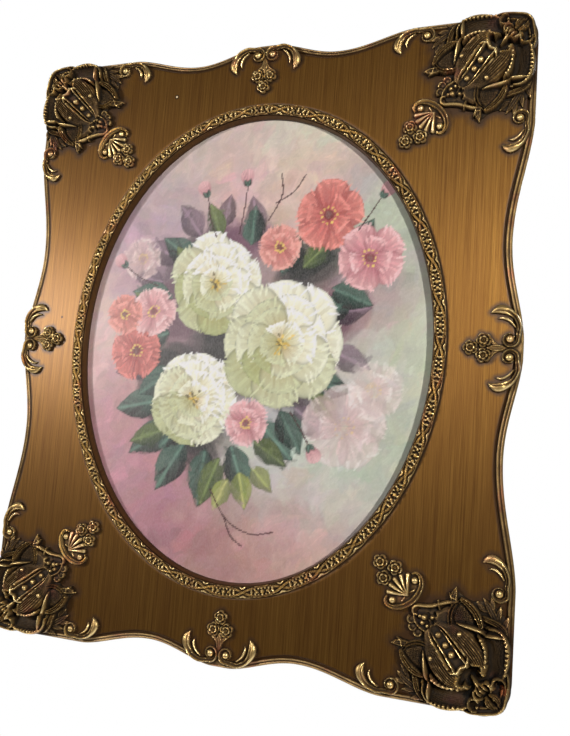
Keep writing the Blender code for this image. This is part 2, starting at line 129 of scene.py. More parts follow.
# %% Field of heights with the forms that a carver uses
class Relief:
    """Heights over a grid of (s, t), and how far inside the outline each grid point is."""

    def __init__(self, low, high, step):
        s = np.arange(low[0], high[0] + step / 2, step)
        t = np.arange(low[1], high[1] + step / 2, step)
        self.step = step
        self.low = low
        self.S, self.T = np.meshgrid(s, t, indexing="ij")
        self.height = np.zeros_like(self.S)
        self.reach = np.full_like(self.S, -9.0)

    def window(self, low, high):
        """The part of the grid between two corners."""
        i = [int(max((low[k] - self.low[k]) / self.step, 0)) for k in (0, 1)]
        j = [int(max((high[k] - self.low[k]) / self.step + 2, 0)) for k in (0, 1)]
        return slice(i[0], j[0]), slice(i[1], j[1])

    def raise_to(self, part, height, reach):
        inside = reach > 0
        self.height[part] = np.where(inside, np.maximum(self.height[part], height), self.height[part])
        self.reach[part] = np.maximum(self.reach[part], reach)

    def strap(self, stations, section):
        """Follows stations of (s, t, half width, height); section gives the height across."""
        path = flowing(stations)
        pad = path[:, 2].max() + 9.0
        part = self.window(path[:, :2].min(0) - pad, path[:, :2].max(0) + pad)
        S, T = self.S[part], self.T[part]
        gap = (S[..., None] - path[:, 0]) ** 2 + (T[..., None] - path[:, 1]) ** 2
        near = gap.argmin(-1)
        way = np.gradient(path[:, :2], axis=0)
        side = way[near, 0] * (T - path[near, 1]) - way[near, 1] * (S - path[near, 0])
        far = np.sqrt(gap.min(-1))
        wide = path[near, 2]
        across = np.sign(side) * far / wide
        share = section(np.clip(across, -1, 1), near / (len(path) - 1))
        self.raise_to(part, share * path[near, 3], wide - far)

    def ball(self, s, t, radius, top):
        part = self.window((s - radius - 9, t - radius - 9), (s + radius + 9, t + radius + 9))
        far = np.hypot(self.S[part] - s, self.T[part] - t)
        dome = np.sqrt(np.clip(1 - (far / radius) ** 2, 0, 1))
        seat = max(top - radius, 0.0)
        self.raise_to(part, seat + (top - seat) * dome, radius - far)

    def ground(self, corners, height, edge=3.0, stipple=0.0):
        """A plate with a soft edge, filled with punched dots where stipple isn't 0."""
        ring = flowing([(*c, 0.0, 0.0) for c in [*corners, corners[0]]])[:, :2]
        part = self.window(ring.min(0) - 9, ring.max(0) + 9)
        S, T = self.S[part], self.T[part]
        gap = np.full(S.shape, 99.0)
        inside = np.zeros(S.shape, bool)
        for (s0, t0), (s1, t1) in zip(ring, np.roll(ring, -1, 0)):
            length = (s1 - s0) ** 2 + (t1 - t0) ** 2 + 1e-9
            share = np.clip(((S - s0) * (s1 - s0) + (T - t0) * (t1 - t0)) / length, 0, 1)
            gap = np.minimum(gap, np.hypot(S - s0 - share * (s1 - s0), T - t0 - share * (t1 - t0)))
            crosses = (t0 > T) != (t1 > T)
            inside ^= crosses & (S < s0 + (s1 - s0) * (T - t0) / (t1 - t0 + 1e-12))
        reach = np.where(inside, gap, -gap)
        soft = np.clip(reach / edge, 0, 1)
        dots = np.sin(3.0 * S + 1.1 * np.sin(1.5 * T)) * np.sin(3.1 * T + 0.9 * np.sin(1.3 * S))
        self.raise_to(part, height * (0.55 + 0.45 * soft) + stipple * soft * dots, reach)

    def carve(self, stations):
        """Hollows out along stations of (s, t, half width, floor)."""
        path = flowing(stations)
        pad = path[:, 2].max() + 2.0
        part = self.window(path[:, :2].min(0) - pad, path[:, :2].max(0) + pad)
        gap = (self.S[part][..., None] - path[:, 0]) ** 2 + (self.T[part][..., None] - path[:, 1]) ** 2
        near = gap.argmin(-1)
        deep = np.clip(1.6 - 1.6 * np.sqrt(gap.min(-1)) / path[near, 2], 0, 1)
        deep = deep * deep * (3 - 2 * deep)
        was = self.height[part]
        self.height[part] = was + (np.minimum(path[near, 3], was) - was) * deep

    def rose(self, s, t, radius, height, turn):
        """Five cupped petals round a small ring."""
        part = self.window((s - radius - 9, t - radius - 9), (s + radius + 9, t + radius + 9))
        ds, dt = self.S[part] - s, self.T[part] - t
        far, angle = np.hypot(ds, dt), np.arctan2(dt, ds) - math.radians(turn)
        wave = np.abs(np.cos(2.5 * angle))
        edge = radius * (0.74 + 0.26 * wave ** 0.7)
        out = far / edge
        petal = 0.46 + 0.42 * np.exp(-((out - 0.86) / 0.12) ** 2) - 0.3 * np.exp(-(wave / 0.2) ** 2)
        second = np.abs(np.sin(2.5 * angle))
        inner = far / (radius * 0.56 * (0.76 + 0.24 * second ** 0.7))
        heart = 0.66 + 0.34 * np.exp(-((inner - 0.82) / 0.2) ** 2) - 0.3 * np.exp(-(second / 0.25) ** 2)
        heart = np.where(inner < 0.4, 0.5 + 0.5 * np.exp(-((inner - 0.24) / 0.1) ** 2), heart)
        share = np.clip(np.where(inner < 1, heart, petal), 0.05, 1.05) * np.clip((1 - out) * 8, 0.35, 1)
        self.raise_to(part, share * height, edge - far)


def flowing(stations):
    """A smooth run through the stations, with a point about every 0.6 mm."""
    p = np.array(stations, float)
    p = np.vstack([2 * p[0] - p[1], p, 2 * p[-1] - p[-2]])
    rows = []
    for a, b, c, d in zip(p, p[1:], p[2:], p[3:]):
        count = max(int(np.hypot(*(c - b)[:2]) / 0.6), 2)
        for u in np.arange(count) / count:
            rows.append(0.5 * (2 * b + (c - a) * u + (2 * a - 5 * b + 4 * c - d) * u * u
                               + (3 * b - a - 3 * c + d) * u ** 3))
    return np.array([*rows, p[-2]])


print("relief forms ready")

# %% [markdown]
# ## Sections across a strap
# A carver tells scrolls apart by what a cut across them shows. A reed is plain and round. A
# channel has two raised edges. A rolled strap has one strong edge and hollows away from it,
# which is what gives a C-scroll its bright line. A leaf has a sunk midrib and fluted sides.
# Each section is a function of v, from -1 to 1 across the strap, and u, from 0 to 1 along it.


# %% Sections, as shares of the strap's height from -1 to 1 across
def reed(v, u):
    return np.sqrt(np.clip(1 - v * v, 0, 1))


def bump(v, place, width):
    return np.exp(-((v - place) / width) ** 2)


def channel(v, u):
    return (0.5 + 0.5 * bump(np.abs(v), 0.72, 0.2)) * np.clip((1 - np.abs(v)) / 0.18, 0, 1) ** 0.5


def rolled(v, u):
    edge = np.clip((1 - np.abs(v)) / 0.16, 0, 1) ** 0.5
    return (0.34 + 0.66 * bump(v, -0.5, 0.34) + 0.26 * bump(v, 0.78, 0.14)) * edge


def leaf(v, u):
    flutes = 0.8 + 0.2 * np.cos(3 * math.pi * v)
    return flutes * (0.35 + 0.65 * np.sqrt(np.clip(1 - v * v, 0, 1))) * (1 - 0.3 * bump(v, 0, 0.14))


def scroll_into_leaf(v, u):
    """A rolled strap whose last part swells into a domed leaf."""
    grown = np.clip((u - 0.68) / 0.14, 0, 1)
    dome = (0.3 + 0.7 * reed(v, u)) * (1 - 0.16 * bump(v, 0.35, 0.12))
    return rolled(v, u) * (1 - grown) + dome * grown


def tray(v, u):
    """A flat bed between two raised borders."""
    edge = np.clip((1 - np.abs(v)) / 0.1, 0, 1) ** 0.5
    return (0.74 + 0.26 * np.clip((np.abs(v) - 0.66) / 0.1, 0, 1)) * edge


def fluted(v, u):
    """Three rounded ribs side by side."""
    return np.clip((1 - np.abs(v)) / 0.12, 0, 1) ** 0.5 * (0.82 + 0.18 * np.cos(3 * math.pi * v))


def draped(v, u):
    """A body that stands highest at its inner edge, with flutes that follow it."""
    dome = np.sqrt(np.clip(1 - np.abs((v - 0.25) / 1.25) ** 2.2, 0, 1))
    flutes = 1 + 0.06 * np.cos(9.4 * math.pi * v + 1.2 * u)
    return dome * np.clip((1 - v) / 0.12, 0, 1) ** 0.4 * flutes


def trough(v, u):
    """A hollow that is deepest at its inner edge and rises to the outer one."""
    out = np.clip((1 - v) / 2, 0, 1)
    ribs = 1 + 0.11 * np.cos(10 * math.pi * v + 0.8 * u)
    return (0.2 + 0.72 * out ** 1.5) * ribs * np.clip((1 + v) / 0.08, 0, 1) ** 0.5


print("sections ready")


# %% [markdown]
# ## Castings
# There are four kinds: a large carving on each corner, a small pendant inside it, a leafed
# scroll on both flanks of it, and a spray at the middle of each rail. Each kind is drawn once
# and laid on the frame in mirror pairs, as the real ones come from one mould.


# %% Scroll with a ball in its eye and a leaf at its end
def ring(centre, start, sweep, radius, last, widths, heights, steps=9):
    """Stations of a curl that turns about its centre from one radius to another."""
    stations = []
    for i in range(steps + 1):
        share = i / steps
        angle = math.radians(start + sweep * share)
        reach = radius + (last - radius) * share
        wide = widths[0] + (widths[1] - widths[0]) * share
        tall = heights[0] + (heights[1] - heights[0]) * share
        s, t = centre[0] + reach * math.cos(angle), centre[1] + reach * math.sin(angle)
        stations.append((s, t, wide, tall))
    return stations


EYE = ring((0.0, 0.0), -60.0, 315.0, 4.2, 7.3, (0.8, 2.2), (4.4, 5.6), 12)


def volute(relief, ball, stem, sign=1.0):
    """The scroll winds round its ball from the inner side, then runs out along its stem."""
    run = [(ball[0] + s, ball[1] + t, w, h) for s, t, w, h in [*EYE, *stem]]
    mirror = [(sign * s, t, w, h) for s, t, w, h in run]
    turned = scroll_into_leaf if sign > 0 else (lambda v, u: scroll_into_leaf(-v, u))
    relief.strap(mirror, turned)
    relief.ball(sign * ball[0], ball[1], 3.7, 6.0)


print("the eye of a volute has", len(EYE), "stations")

# %% [markdown]
# ### Flank scroll and spray
# The flank scroll is one volute that runs out into a curled leaf. The spray at the middle of
# a rail is two of them in mirror image, with a bud and three small roses between them.

# %% Flank scroll and spray
SCROLL_STEM = [(5.6, -7.9, 2.3, 5.6), (13.0, -8.4, 2.5, 5.8), (21.5, -4.6, 2.8, 6.0), (27.0, 2.4, 3.9, 6.0),
               (29.0, 9.4, 4.6, 5.8), (27.8, 14.6, 3.2, 4.4), (25.6, 18.4, 0.8, 2.4)]
SPRAY_LEAF = [(1.0, 22.0, 1.2, 3.0), (4.0, 29.0, 2.0, 3.4), (10.0, 33.0, 1.2, 2.6)]
INNER_LEAF = [(12.0, -4.2, 0.9, 3.4), (17.5, 0.6, 1.4, 3.8), (20.4, 6.6, 1.7, 3.4), (20.0, 11.6, 0.6, 2.0)]


def flank_scroll():
    piece = Relief((94.0, -3.0), (150.0, 44.0), 0.55)
    short = [(s * 1.06, t * 0.86, w, h) for s, t, w, h in SCROLL_STEM]
    volute(piece, (111.0, 14.0), short)
    inner = [(111 + s * 1.06, 14 + t * 0.86, w, h) for s, t, w, h in INNER_LEAF]
    piece.strap(inner, reed)
    return piece


def mid_spray():
    piece = Relief((-46.0, -3.0), (46.0, 66.0), 0.55)
    for sign in (1.0, -1.0):
        volute(piece, (8.9, 14.4), SCROLL_STEM, sign)
        piece.strap([(sign * (8.9 + s), 14.4 + t, w, h) for s, t, w, h in INNER_LEAF], reed)
        piece.strap([(sign * s, t, w, h) for s, t, w, h in SPRAY_LEAF], leaf)
    piece.ground([(-7, 4), (7, 4), (5, 14), (3, 24), (-3, 24), (-5, 14)], 1.6)
    piece.strap([(0, 17, 1.2, 3.4), (0, 23, 3.2, 4.6), (0, 29, 3.4, 4.8), (0, 35, 1.4, 3.6)], leaf)
    piece.rose(-7.4, 39.0, 8.0, 5.6, 12.0)
    piece.rose(7.4, 39.0, 8.0, 5.6, 24.0)
    piece.rose(0.0, 51.5, 8.0, 5.8, 18.0)
    return piece


print("scroll stem has", len(SCROLL_STEM), "stations")

# %% [markdown]
# ### Pendant
# A C-scroll cups a shell of five ribs, and three small roses hang from it towards the oval.
# A ball sits in each end of the scroll.


# %% Pendant
def corner_pendant():
    piece = Relief((124.0, -27.0), (194.0, 27.0), 0.55)
    half = [(152.4, 17.0, 0.9, 4.0), (150.6, 20.4, 1.3, 4.6), (145.6, 21.2, 1.8, 5.2),
            (139.6, 17.6, 2.3, 5.6), (135.4, 10.6, 2.7, 5.8), (133.6, 3.4, 2.9, 5.6)]
    plate = [(136, 11), (147, 17), (160, 11), (178, 6)]
    piece.ground([(131, 0), *plate, *[(s, -t) for s, t in plate[::-1]]], 1.4)
    piece.strap([*half, *[(s, -t, w, h) for s, t, w, h in half[::-1]]], channel)
    for sign in (1.0, -1.0):
        piece.ball(146.0, sign * 14.6, 3.4, 5.6)
        piece.strap([(141.0, sign * 3.0, 1.0, 3.0), (139.6, sign * 8.0, 1.2, 3.4)], reed)
    for step in range(5):
        turn = math.radians(-42 + 21 * step)
        tip = (140 + 19 * math.cos(turn), 19 * math.sin(turn))
        middle = (140 + 11 * math.cos(turn), 11 * math.sin(turn))
        piece.strap([(140, 0, 1.0, 5.4), (*middle, 2.0, 6.2), (*tip, 2.7, 4.6)], reed)
    piece.rose(167.0, 7.7, 8.0, 5.6, 17.0)
    piece.rose(167.0, -7.7, 8.0, 5.6, -17.0)
    piece.rose(180.5, 0.0, 8.0, 5.8, 0.0)
    return piece


print("pendant stands", round(float(corner_pendant().height.max()), 1), "mm high")

# %% [markdown]
# ## Corner carving
# The largest casting sits on the frame's corner. A beaded tongue climbs along the diagonal to
# a flared lip over a deep hole. A draped body lies on each side of it, a stippled wing stands
# off each of those, and a hollow C-scroll with a beaded edge closes the outside. It could be
# sculpted by hand, but drawn as straps each form keeps its own line and can be moved alone.
# Most forms come in mirrored halves, so the parts below are drawn for one side at a time.


# %% Outline and mirrored halves
SKIRT = [(124, 0), (122, 9), (114, 15), (107, 19), (108, 28), (113, 35), (114, 40), (105, 42), (97, 46),
         (92, 53), (80, 58), (66, 57), (56, 49), (43, 40), (31, 28), (21, 17), (13, 8), (11, 0)]


def half(piece, side):
    """Lays straps on one of the two mirrored halves, with the section mirrored too."""
    def lay(stations, section):
        mirrored = [(s, side * t, w, h) for s, t, w, h in stations]
        piece.strap(mirrored, section if side > 0 else (lambda v, u: section(-v, u)))
    return lay


def stands(part):
    """Greatest height of one half of a part laid alone on an empty field."""
    trial = Relief((6.0, -66.0), (134.0, 66.0), 2.0)
    part(trial, 1.0)
    return round(float(trial.height.max()), 1)


print("skirt of the corner carving", len(SKIRT), "points")

# %% [markdown]
# ### Draped body
# The forms beside the tongue stand highest at its rim and fall away with flutes. A carved
# channel under a beaded lip parts them from the outer scroll, and its dark line is what makes
# the body look thick.


# %% Roll, draped body and beaded lip
def flank_of_tray(piece, side):
    """The roll beside the tongue, the draped body and the beaded lip over the deep channel."""
    lay = half(piece, side)
    lay([(104, 8, 2.6, 7.5), (96, 12, 5.0, 10.5), (88, 15.5, 7.6, 14.0),
         (79, 17, 9.2, 17.0), (69, 17.5, 9.8, 19.0), (60, 17, 9.4, 19.4),
         (52, 14, 7.4, 17.5), (46, 9.5, 4.4, 13.0)], draped)
    lay([(105, 4.5, 1.3, 7.0), (97, 8.0, 1.8, 9.8), (87, 9.2, 2.0, 13.5),
         (77, 9.9, 2.1, 18.0), (68, 10.6, 1.9, 21.0)], reed)
    lay([(93, 21, 1.2, 9.5), (88, 24.5, 2.2, 12.0), (82, 29, 2.8, 13.6),
         (75, 33.5, 2.4, 13.6), (70, 34.5, 1.2, 12.0)], reed)
    piece.ball(84.0, side * 17.8, 2.5, 17.2)
    piece.carve([(70, side * 32.0, 2.6, 3.0), (63, side * 31.5, 3.6, 2.0), (56, side * 28.6, 3.8, 2.0),
                 (49.5, side * 21.5, 3.2, 2.6)])
    lay([(73, 29.4, 1.0, 14.5), (66, 29.4, 1.5, 16.5), (58, 25.4, 1.7, 16.5),
         (50.5, 17.5, 1.5, 14.0), (46.5, 12.0, 0.8, 11.5)], reed)
    for step in range(7):
        share = step / 6
        t = 29.6 - 2.5 * share - 10.5 * share ** 2
        piece.ball(69 - 20 * share, side * t, 1.6, 17.2 - 1.6 * share)


print("draped body stands", stands(flank_of_tray), "mm high")

# %% [markdown]
# ### Wing
# A wing is a window of punched ground inside a doubled rib. The punched dots catch the
# gilding, so the window reads as a rough patch between smooth lines.


# %% Wing
def wing(piece, side):
    """A stippled window inside a doubled rib, a curled tip, and a fluted strap that closes it."""
    lay = half(piece, side)
    window = [(86, 17), (97, 18), (105, 27), (105, 37), (96, 39), (85, 37), (80, 30)]
    piece.ground([(s, side * t) for s, t in window], 6.4, 4.0, 1.1)
    lay([(89, 13.0, 1.4, 11.0), (96, 15.5, 1.9, 10.4), (102.5, 21, 2.0, 10.0),
         (106.4, 29, 2.0, 9.6), (105.6, 37, 1.6, 7.6)], channel)
    lay([(102, 25, 1.6, 8.6), (108.5, 31.0, 3.2, 9.2), (113.5, 36.0, 3.4, 8.2),
         (117, 41.5, 0.8, 4.6)], leaf)
    lay([(109, 35, 1.2, 8.0), (113.2, 32.5, 1.7, 7.6), (117.5, 33.6, 0.7, 5.0)], reed)
    lay([(106, 38.5, 1.8, 8.0), (99, 40.6, 2.9, 9.6), (90, 41.0, 3.3, 10.6),
         (82, 39.0, 3.0, 11.4), (77, 36.5, 2.0, 11.0)], fluted)


print("wing stands", stands(wing), "mm high")

# %% [markdown]
# ### Outer scroll
# The large C-scroll is hollow: it is deepest beside the body and rises to a roped outer edge,
# which is worn bright. A thick crest stands where the scroll begins.


# %% Outer scroll
def outer_scroll(piece, side):
    """A broad hollow tube with a roped outer edge and a gold crest at its head."""
    lay = half(piece, side)
    lay([(71, 38.5, 3.6, 10.0), (63, 39.0, 6.4, 10.6), (54, 36.0, 8.0, 10.6),
         (45.5, 29.6, 8.0, 10.8), (38.5, 21.5, 6.4, 11.0), (34, 15, 4.0, 10.0)], trough)
    lay([(84, 42, 1.6, 7.5), (77, 45.5, 2.6, 9.0), (70, 49.0, 2.8, 8.4),
         (62, 50.2, 2.4, 7.4), (54, 48, 1.0, 5.0)], fluted)
    lay([(71, 41, 1.4, 11.0), (66, 45.6, 1.9, 11.6), (58, 47.0, 1.9, 11.4),
         (48.5, 43.4, 1.8, 11.6), (41, 36.8, 1.8, 11.6), (35.5, 29.0, 1.7, 11.2),
         (31.5, 21.5, 1.2, 10.0)], reed)
    lay([(68.5, 35.0, 1.5, 14.2), (65.4, 38.6, 2.5, 15.4), (61.6, 42.4, 2.6, 15.2),
         (57.6, 45.6, 1.4, 13.0)], reed)
    for step in range(9):
        share = step / 8
        s, t = 57 - 24 * share, 46.6 - 5 * share - 16.5 * share ** 1.5
        piece.ball(s, side * t, 1.5, 12.6 - 0.8 * share)


print("outer scroll stands", stands(outer_scroll), "mm high")

# %% [markdown]
# ### Foot and sprig
# The foot fills the very corner with curls over two dark hollows. The sprig is a stem with
# four side leaves that lies low along the frame's edge and ties the carving to the rim.


# %% Foot and sprig
def foot(piece, side):
    """Curls over dark hollows and a rimmed leaf at the very corner."""
    lay = half(piece, side)
    lay([(33, 25, 2.6, 7.0), (26.5, 19.5, 4.4, 7.6), (20, 12.5, 4.8, 7.6),
         (15.5, 4, 4.2, 7.0)], leaf)
    lay([(33, 27, 1.0, 8.6), (27, 23.4, 1.5, 9.2), (21.6, 17.4, 1.7, 9.6),
         (16.5, 10.6, 1.7, 9.6), (12.6, 4.6, 1.8, 9.2), (11.6, -1, 1.8, 9.0)], reed)
    piece.carve([(31, side * 15.6, 3.8, 1.8), (27.4, side * 14.4, 3.6, 1.8)])
    lay(ring((29.8, 14.4), 150, -235, 6.2, 5.2, (1.0, 1.7), (11.5, 14.5)), reed)
    piece.ball(26.2, side * 15.4, 1.6, 7.0)
    lay([(39.5, 4.0, 1.0, 12.0), (37.6, 7.8, 1.9, 15.5), (33.0, 8.6, 2.1, 15.5),
         (29.6, 5.4, 1.3, 12.5)], reed)
    lay([(28, 2.4, 1.6, 9.5), (22, 4.4, 3.0, 10.4), (16.4, 3.6, 1.2, 8.0)], leaf)


def sprig(piece, side):
    """A low stem and its four side leaves."""
    lay = half(piece, side)
    for stations in ([(64, 46, 1.6, 5.0), (74, 50.5, 3.2, 6.6), (85, 53.4, 3.4, 6.4), (94, 54.6, 0.8, 3.2)],
                     [(70, 50, 1.6, 5.4), (75, 56, 3.0, 6.0), (79, 62, 0.7, 3.0)],
                     [(79, 52, 1.4, 5.4), (85, 57.4, 2.8, 5.6), (90, 60.6, 0.7, 3.0)],
                     [(63, 50, 1.6, 4.8), (65, 55, 3.0, 5.6), (68, 61, 0.7, 3.0)],
                     [(82, 50, 1.2, 5.4), (89, 47.6, 2.8, 5.6), (96, 48, 0.7, 3.2)]):
        lay(stations, leaf)


print("foot and sprig stand", stands(foot), "and", stands(sprig), "mm high")

# %% [markdown]
# ### Tongue, lip and bud
# The tongue is a bed with raised borders and three beads that grow taller towards the lip.
# The lip curls over a hole, and a bud of three lobes comes out below it.


# %% Tongue, lip and bud
LIP = [(66.5, -12.4, 1.2, 19.5), (63, -9.6, 2.4, 22.4), (60.6, -5, 2.9, 23.2), (62, 0, 2.8, 23.4),
       (60.6, 5, 2.9, 23.2), (63, 9.6, 2.4, 22.4), (66.5, 12.4, 1.2, 19.5)]


def tongue(piece):
    piece.strap([(101, 0, 5.4, 6.2), (95, 0, 6.2, 8.0), (84, 0, 6.8, 12.2), (75, 0, 7.3, 17.4),
                 (67, 0, 7.8, 21.4), (63, 0, 8.2, 22.6)], tray)
    for s, top in ((95.0, 9.4), (84.4, 13.6), (75.0, 18.8)):
        piece.ball(s, 0.0, 3.1, top)
    piece.carve([(51.5, -10.5, 3.4, 3.0), (53.6, -5, 5.0, 2.2), (54.2, 0, 5.4, 2.0), (53.6, 5, 5.0, 2.2),
                 (51.5, 10.5, 3.4, 3.0)])
    piece.carve([(48.4, 6.4, 3.0, 2.6), (45.4, 6.0, 2.8, 2.6)])
    piece.carve([(47.4, -6.8, 3.0, 2.6), (44.4, -6.0, 2.8, 2.6)])
    piece.strap([(49.5, 0.4, 1.6, 7.0), (45, 0.2, 2.4, 11.0), (41, 0.2, 3.0, 13.5)], reed)
    piece.strap(LIP, reed)
    for t, top in ((0.2, 17.4), (4.0, 16.4), (-3.6, 16.4)):
        piece.strap([(40.5, 0.6 * t, 1.4, 13.0), (36.4, t, 2.2, top), (32.6, 1.1 * t, 1.2, 13.5)], reed)


print("lip stands", max(tall for _, _, _, tall in LIP), "mm high")

# %% [markdown]
# ### Inner border
# The side that faces the painting isn't the same on both halves: a strap sweeps along one,
# and a row of three curls stands on the other, with beads and pierced dots between them.


# %% Inner border
STRAP = [(121.0, 4.4, 1.3, 4.6), (124.6, 6.2, 1.6, 5.2), (128.0, 3.4, 1.9, 5.6), (127.4, -1.4, 2.1, 5.8),
         (122.6, -7.0, 2.4, 6.4), (118.2, -13, 2.5, 6.8), (115.0, -20.0, 2.4, 7.2), (111.6, -27.0, 2.4, 7.6),
         (107.0, -34.0, 1.8, 7.6)]
BEADS = [(115.2, 0.4, 2.7), (112.6, 4.9, 2.1), (110.4, -5.6, 1.8), (118.6, 2.6, 1.6), (107.6, 3.4, 1.7)]
DOTS = [(114.6, -4.4), (117.8, -7.6), (111.0, -9.6), (110.2, 1.0), (106.8, -2.4), (118.0, 6.0)]


def inner_border(piece):
    piece.strap(STRAP, reed)
    piece.strap([(118.6, -20.6, 1.0, 6.6), (115.4, -18.4, 1.2, 8.4), (111.8, -16.6, 1.0, 7.6)], reed)
    piece.strap([(124.0, 6.4, 1.2, 4.8), (119.0, 9.6, 1.4, 5.6), (112.4, 10.4, 1.4, 6.2),
                 (106.0, 8.6, 1.3, 7.0)], reed)
    for s, t, start in ((121.4, 11.4, 190), (115.4, 14.8, 220), (108.6, 14.6, 245)):
        piece.ball(s, t, 3.6, 4.6)
        piece.strap(ring((s, t), start, -190, 3.1, 3.7, (1.1, 1.5), (5.2, 6.2)), reed)
    for s, t, radius in BEADS:
        piece.ball(s, t, radius, 7.4)
    for s, t in DOTS:
        piece.carve([(s + 0.6, t, 1.9, 0.9), (s - 0.6, t, 1.9, 0.9)])


print("inner border", len(BEADS), "beads,", len(DOTS), "dots")


# %% Whole corner carving
def corner_carving():
    piece = Relief((6.0, -66.0), (134.0, 66.0), 0.62)
    piece.ground([*SKIRT, *[(s, -t) for s, t in SKIRT[-2:0:-1]]], 2.4, 3.0, 0.25)
    piece.ground([(120, 0), (114, 11), (104, 12), (98, 8), (98, -8), (104, -16), (112, -14)], 3.4, 3.0, 0.5)
    piece.ground([(90, -8), (106, -5), (112, -9), (111, -19), (107, -26), (98, -20), (90, -14)],
                 7.2, 3.0, 0.4)
    for side in (1.0, -1.0):
        sprig(piece, side)
        wing(piece, side)
        outer_scroll(piece, side)
        flank_of_tray(piece, side)
        foot(piece, side)
    tongue(piece)
    inner_border(piece)
    return piece


CASTINGS = {"cartouche": corner_carving(), "pendant": corner_pendant(), "scroll": flank_scroll(),
            "spray": mid_spray()}
for kind, piece in CASTINGS.items():
    print(kind, piece.height.shape, "tallest", round(float(piece.height.max()), 1), "mm")

# %% [markdown]
# ## From a field to a closed casting
# The part of the grid inside the outline becomes faces. Corners that fall just outside are
# pulled back onto the outline, which takes the steps out of it. The rim is then drawn down to
# the frame's face and the bottom closed, so each casting is a solid body. A crest value goes
# with every point: high where the relief stands above what is round it, low in the hollows.
# The gilding reads it later, because rubbing takes dark wax off just those high places.


# %% Solid cut out of a field
def soften(field, times):
    for _ in range(times):
        wide = np.pad(field, 1, mode="edge")
        field = (wide[:-2, 1:-1] + wide[2:, 1:-1] + wide[1:-1, :-2] + wide[1:-1, 2:] + 2 * field) / 6
    return field


def crest_of(relief):
    """How far each point stands above what is round it, from 0 in a hollow to 1 on a ridge."""
    tall = soften(relief.height, 1)
    rise = tall - soften(relief.height, 14)
    low = tall / max(float(tall.max()), 1.0)
    return np.clip(0.44 + rise / 1.9, 0, 1) * (0.78 + 0.22 * low)


def cut_out(relief, values=()):
    """Points (s, t, height), closed faces, and the given fields read at the points."""
    reach, step = relief.reach, relief.step
    keep = reach > -0.75 * step
    cells = keep[:-1, :-1] & keep[1:, :-1] & keep[1:, 1:] & keep[:-1, 1:]
    inside = (reach[:-1, :-1] > 0) | (reach[1:, :-1] > 0) | (reach[1:, 1:] > 0) | (reach[:-1, 1:] > 0)
    cells &= inside
    used = np.zeros(reach.shape, bool)
    for i, j in ((0, 0), (1, 0), (1, 1), (0, 1)):
        used[i:i + cells.shape[0], j:j + cells.shape[1]] |= cells
    number = np.cumsum(used).reshape(used.shape) - 1
    slope_s, slope_t = np.gradient(reach, step)
    pull = np.where(reach < 0, -reach / np.maximum(slope_s ** 2 + slope_t ** 2, 0.3), 0.0)
    s = relief.S + np.clip(pull * slope_s, -step, step)
    t = relief.T + np.clip(pull * slope_t, -step, step)
    wide = np.pad(relief.height, 1)
    near = np.max([wide[:-2, 1:-1], wide[2:, 1:-1], wide[1:-1, :-2], wide[1:-1, 2:]], axis=0)
    tall = np.where(reach < 0, near * 0.55, relief.height)
    points = np.stack([s[used], t[used], tall[used]], 1)
    i, j = np.nonzero(cells)
    quads = np.stack([number[i, j], number[i + 1, j], number[i + 1, j + 1], number[i, j + 1]], 1)
    edges = {}
    for quad in quads.tolist():
        for a, b in zip(quad, quad[1:] + quad[:1]):
            edges[(a, b)] = True
    rim = [(a, b) for a, b in edges if (b, a) not in edges]
    foot = {}
    for a, b in rim:
        for p in (a, b):
            foot.setdefault(p, len(points) + len(foot))
    low = points[list(foot)] * (1, 1, 0)
    walls = [(b, a, foot[a], foot[b]) for a, b in rim]
    flat = bmesh.new()
    corners = {p: flat.verts.new((float(points[p, 0]), float(points[p, 1]), 0.0)) for p in foot}
    borders = [flat.edges.new((corners[a], corners[b])) for a, b in rim]
    flat.verts.index_update()
    name_of = dict(zip(corners.values(), corners))
    made = bmesh.ops.triangle_fill(flat, use_beauty=False, use_dissolve=False, edges=borders,
                                   normal=(0, 0, -1))
    soles = []
    for face in [item for item in made["geom"] if isinstance(item, bmesh.types.BMFace)]:
        loop = [foot[name_of[v]] for v in face.verts]
        soles.append(loop if face.normal.z < 0 else loop[::-1])
    flat.free()
    read = [np.concatenate([field[used], field[used][list(foot)]]) for field in values]
    return np.vstack([points, low]), [*quads.tolist(), *walls, *soles], read


print("largest field has", CASTINGS["cartouche"].height.size, "points")

# %% [markdown]
# ## Mesh objects
# Every mesh goes through one helper: millimetres become metres, the oval's centre goes to its
# place under the hanging point, and painted values are stored as attributes of the mesh.


# %% Mesh from arrays
def solid(name, points, faces, values, smooth=50.0):
    """Points are (right, forward, up) in millimetres from the oval's centre and the back."""
    mesh = bpy.data.meshes.new(name)
    place = np.asarray(points, float) * (1, -1, 1) - (0, 0, HANG)
    mesh.from_pydata((place * MM).tolist(), [], faces)
    for key, value in values.items():
        kind = "FLOAT_COLOR" if np.ndim(value) == 2 else "FLOAT"
        stored = mesh.attributes.new(key, kind, "POINT")
        if kind == "FLOAT":
            stored.data.foreach_set("value", np.asarray(value, np.float32))
        else:
            rgba = np.concatenate([value, np.ones((len(value), 1))], 1)
            stored.data.foreach_set("color", rgba.astype(np.float32).ravel())
    mesh.validate()
    mesh.shade_smooth()
    mesh.set_sharp_from_angle(angle=math.radians(smooth))
    made = bpy.data.objects.new(name, mesh)
    bpy.context.scene.collection.objects.link(made)
    return made


def triangles(made):
    made.data.calc_loop_triangles()
    return len(made.data.loop_triangles)


print("mesh helper ready, the oval's centre is", HANG, "mm below the hanging place")

# %% [markdown]
# ### Laying the castings on the frame
# A casting's own axes are s along the rail, or along the diagonal on a corner, and t inward
# from the edge. Each placing below turns (s, t) into the frame's right and up. A mirrored
# placing would turn the faces inside out, so their corners are listed the other way round.


# %% Castings laid on the frame
D = math.sqrt(0.5)
GLUE = 0.05  # the visual castings sit this far off the face


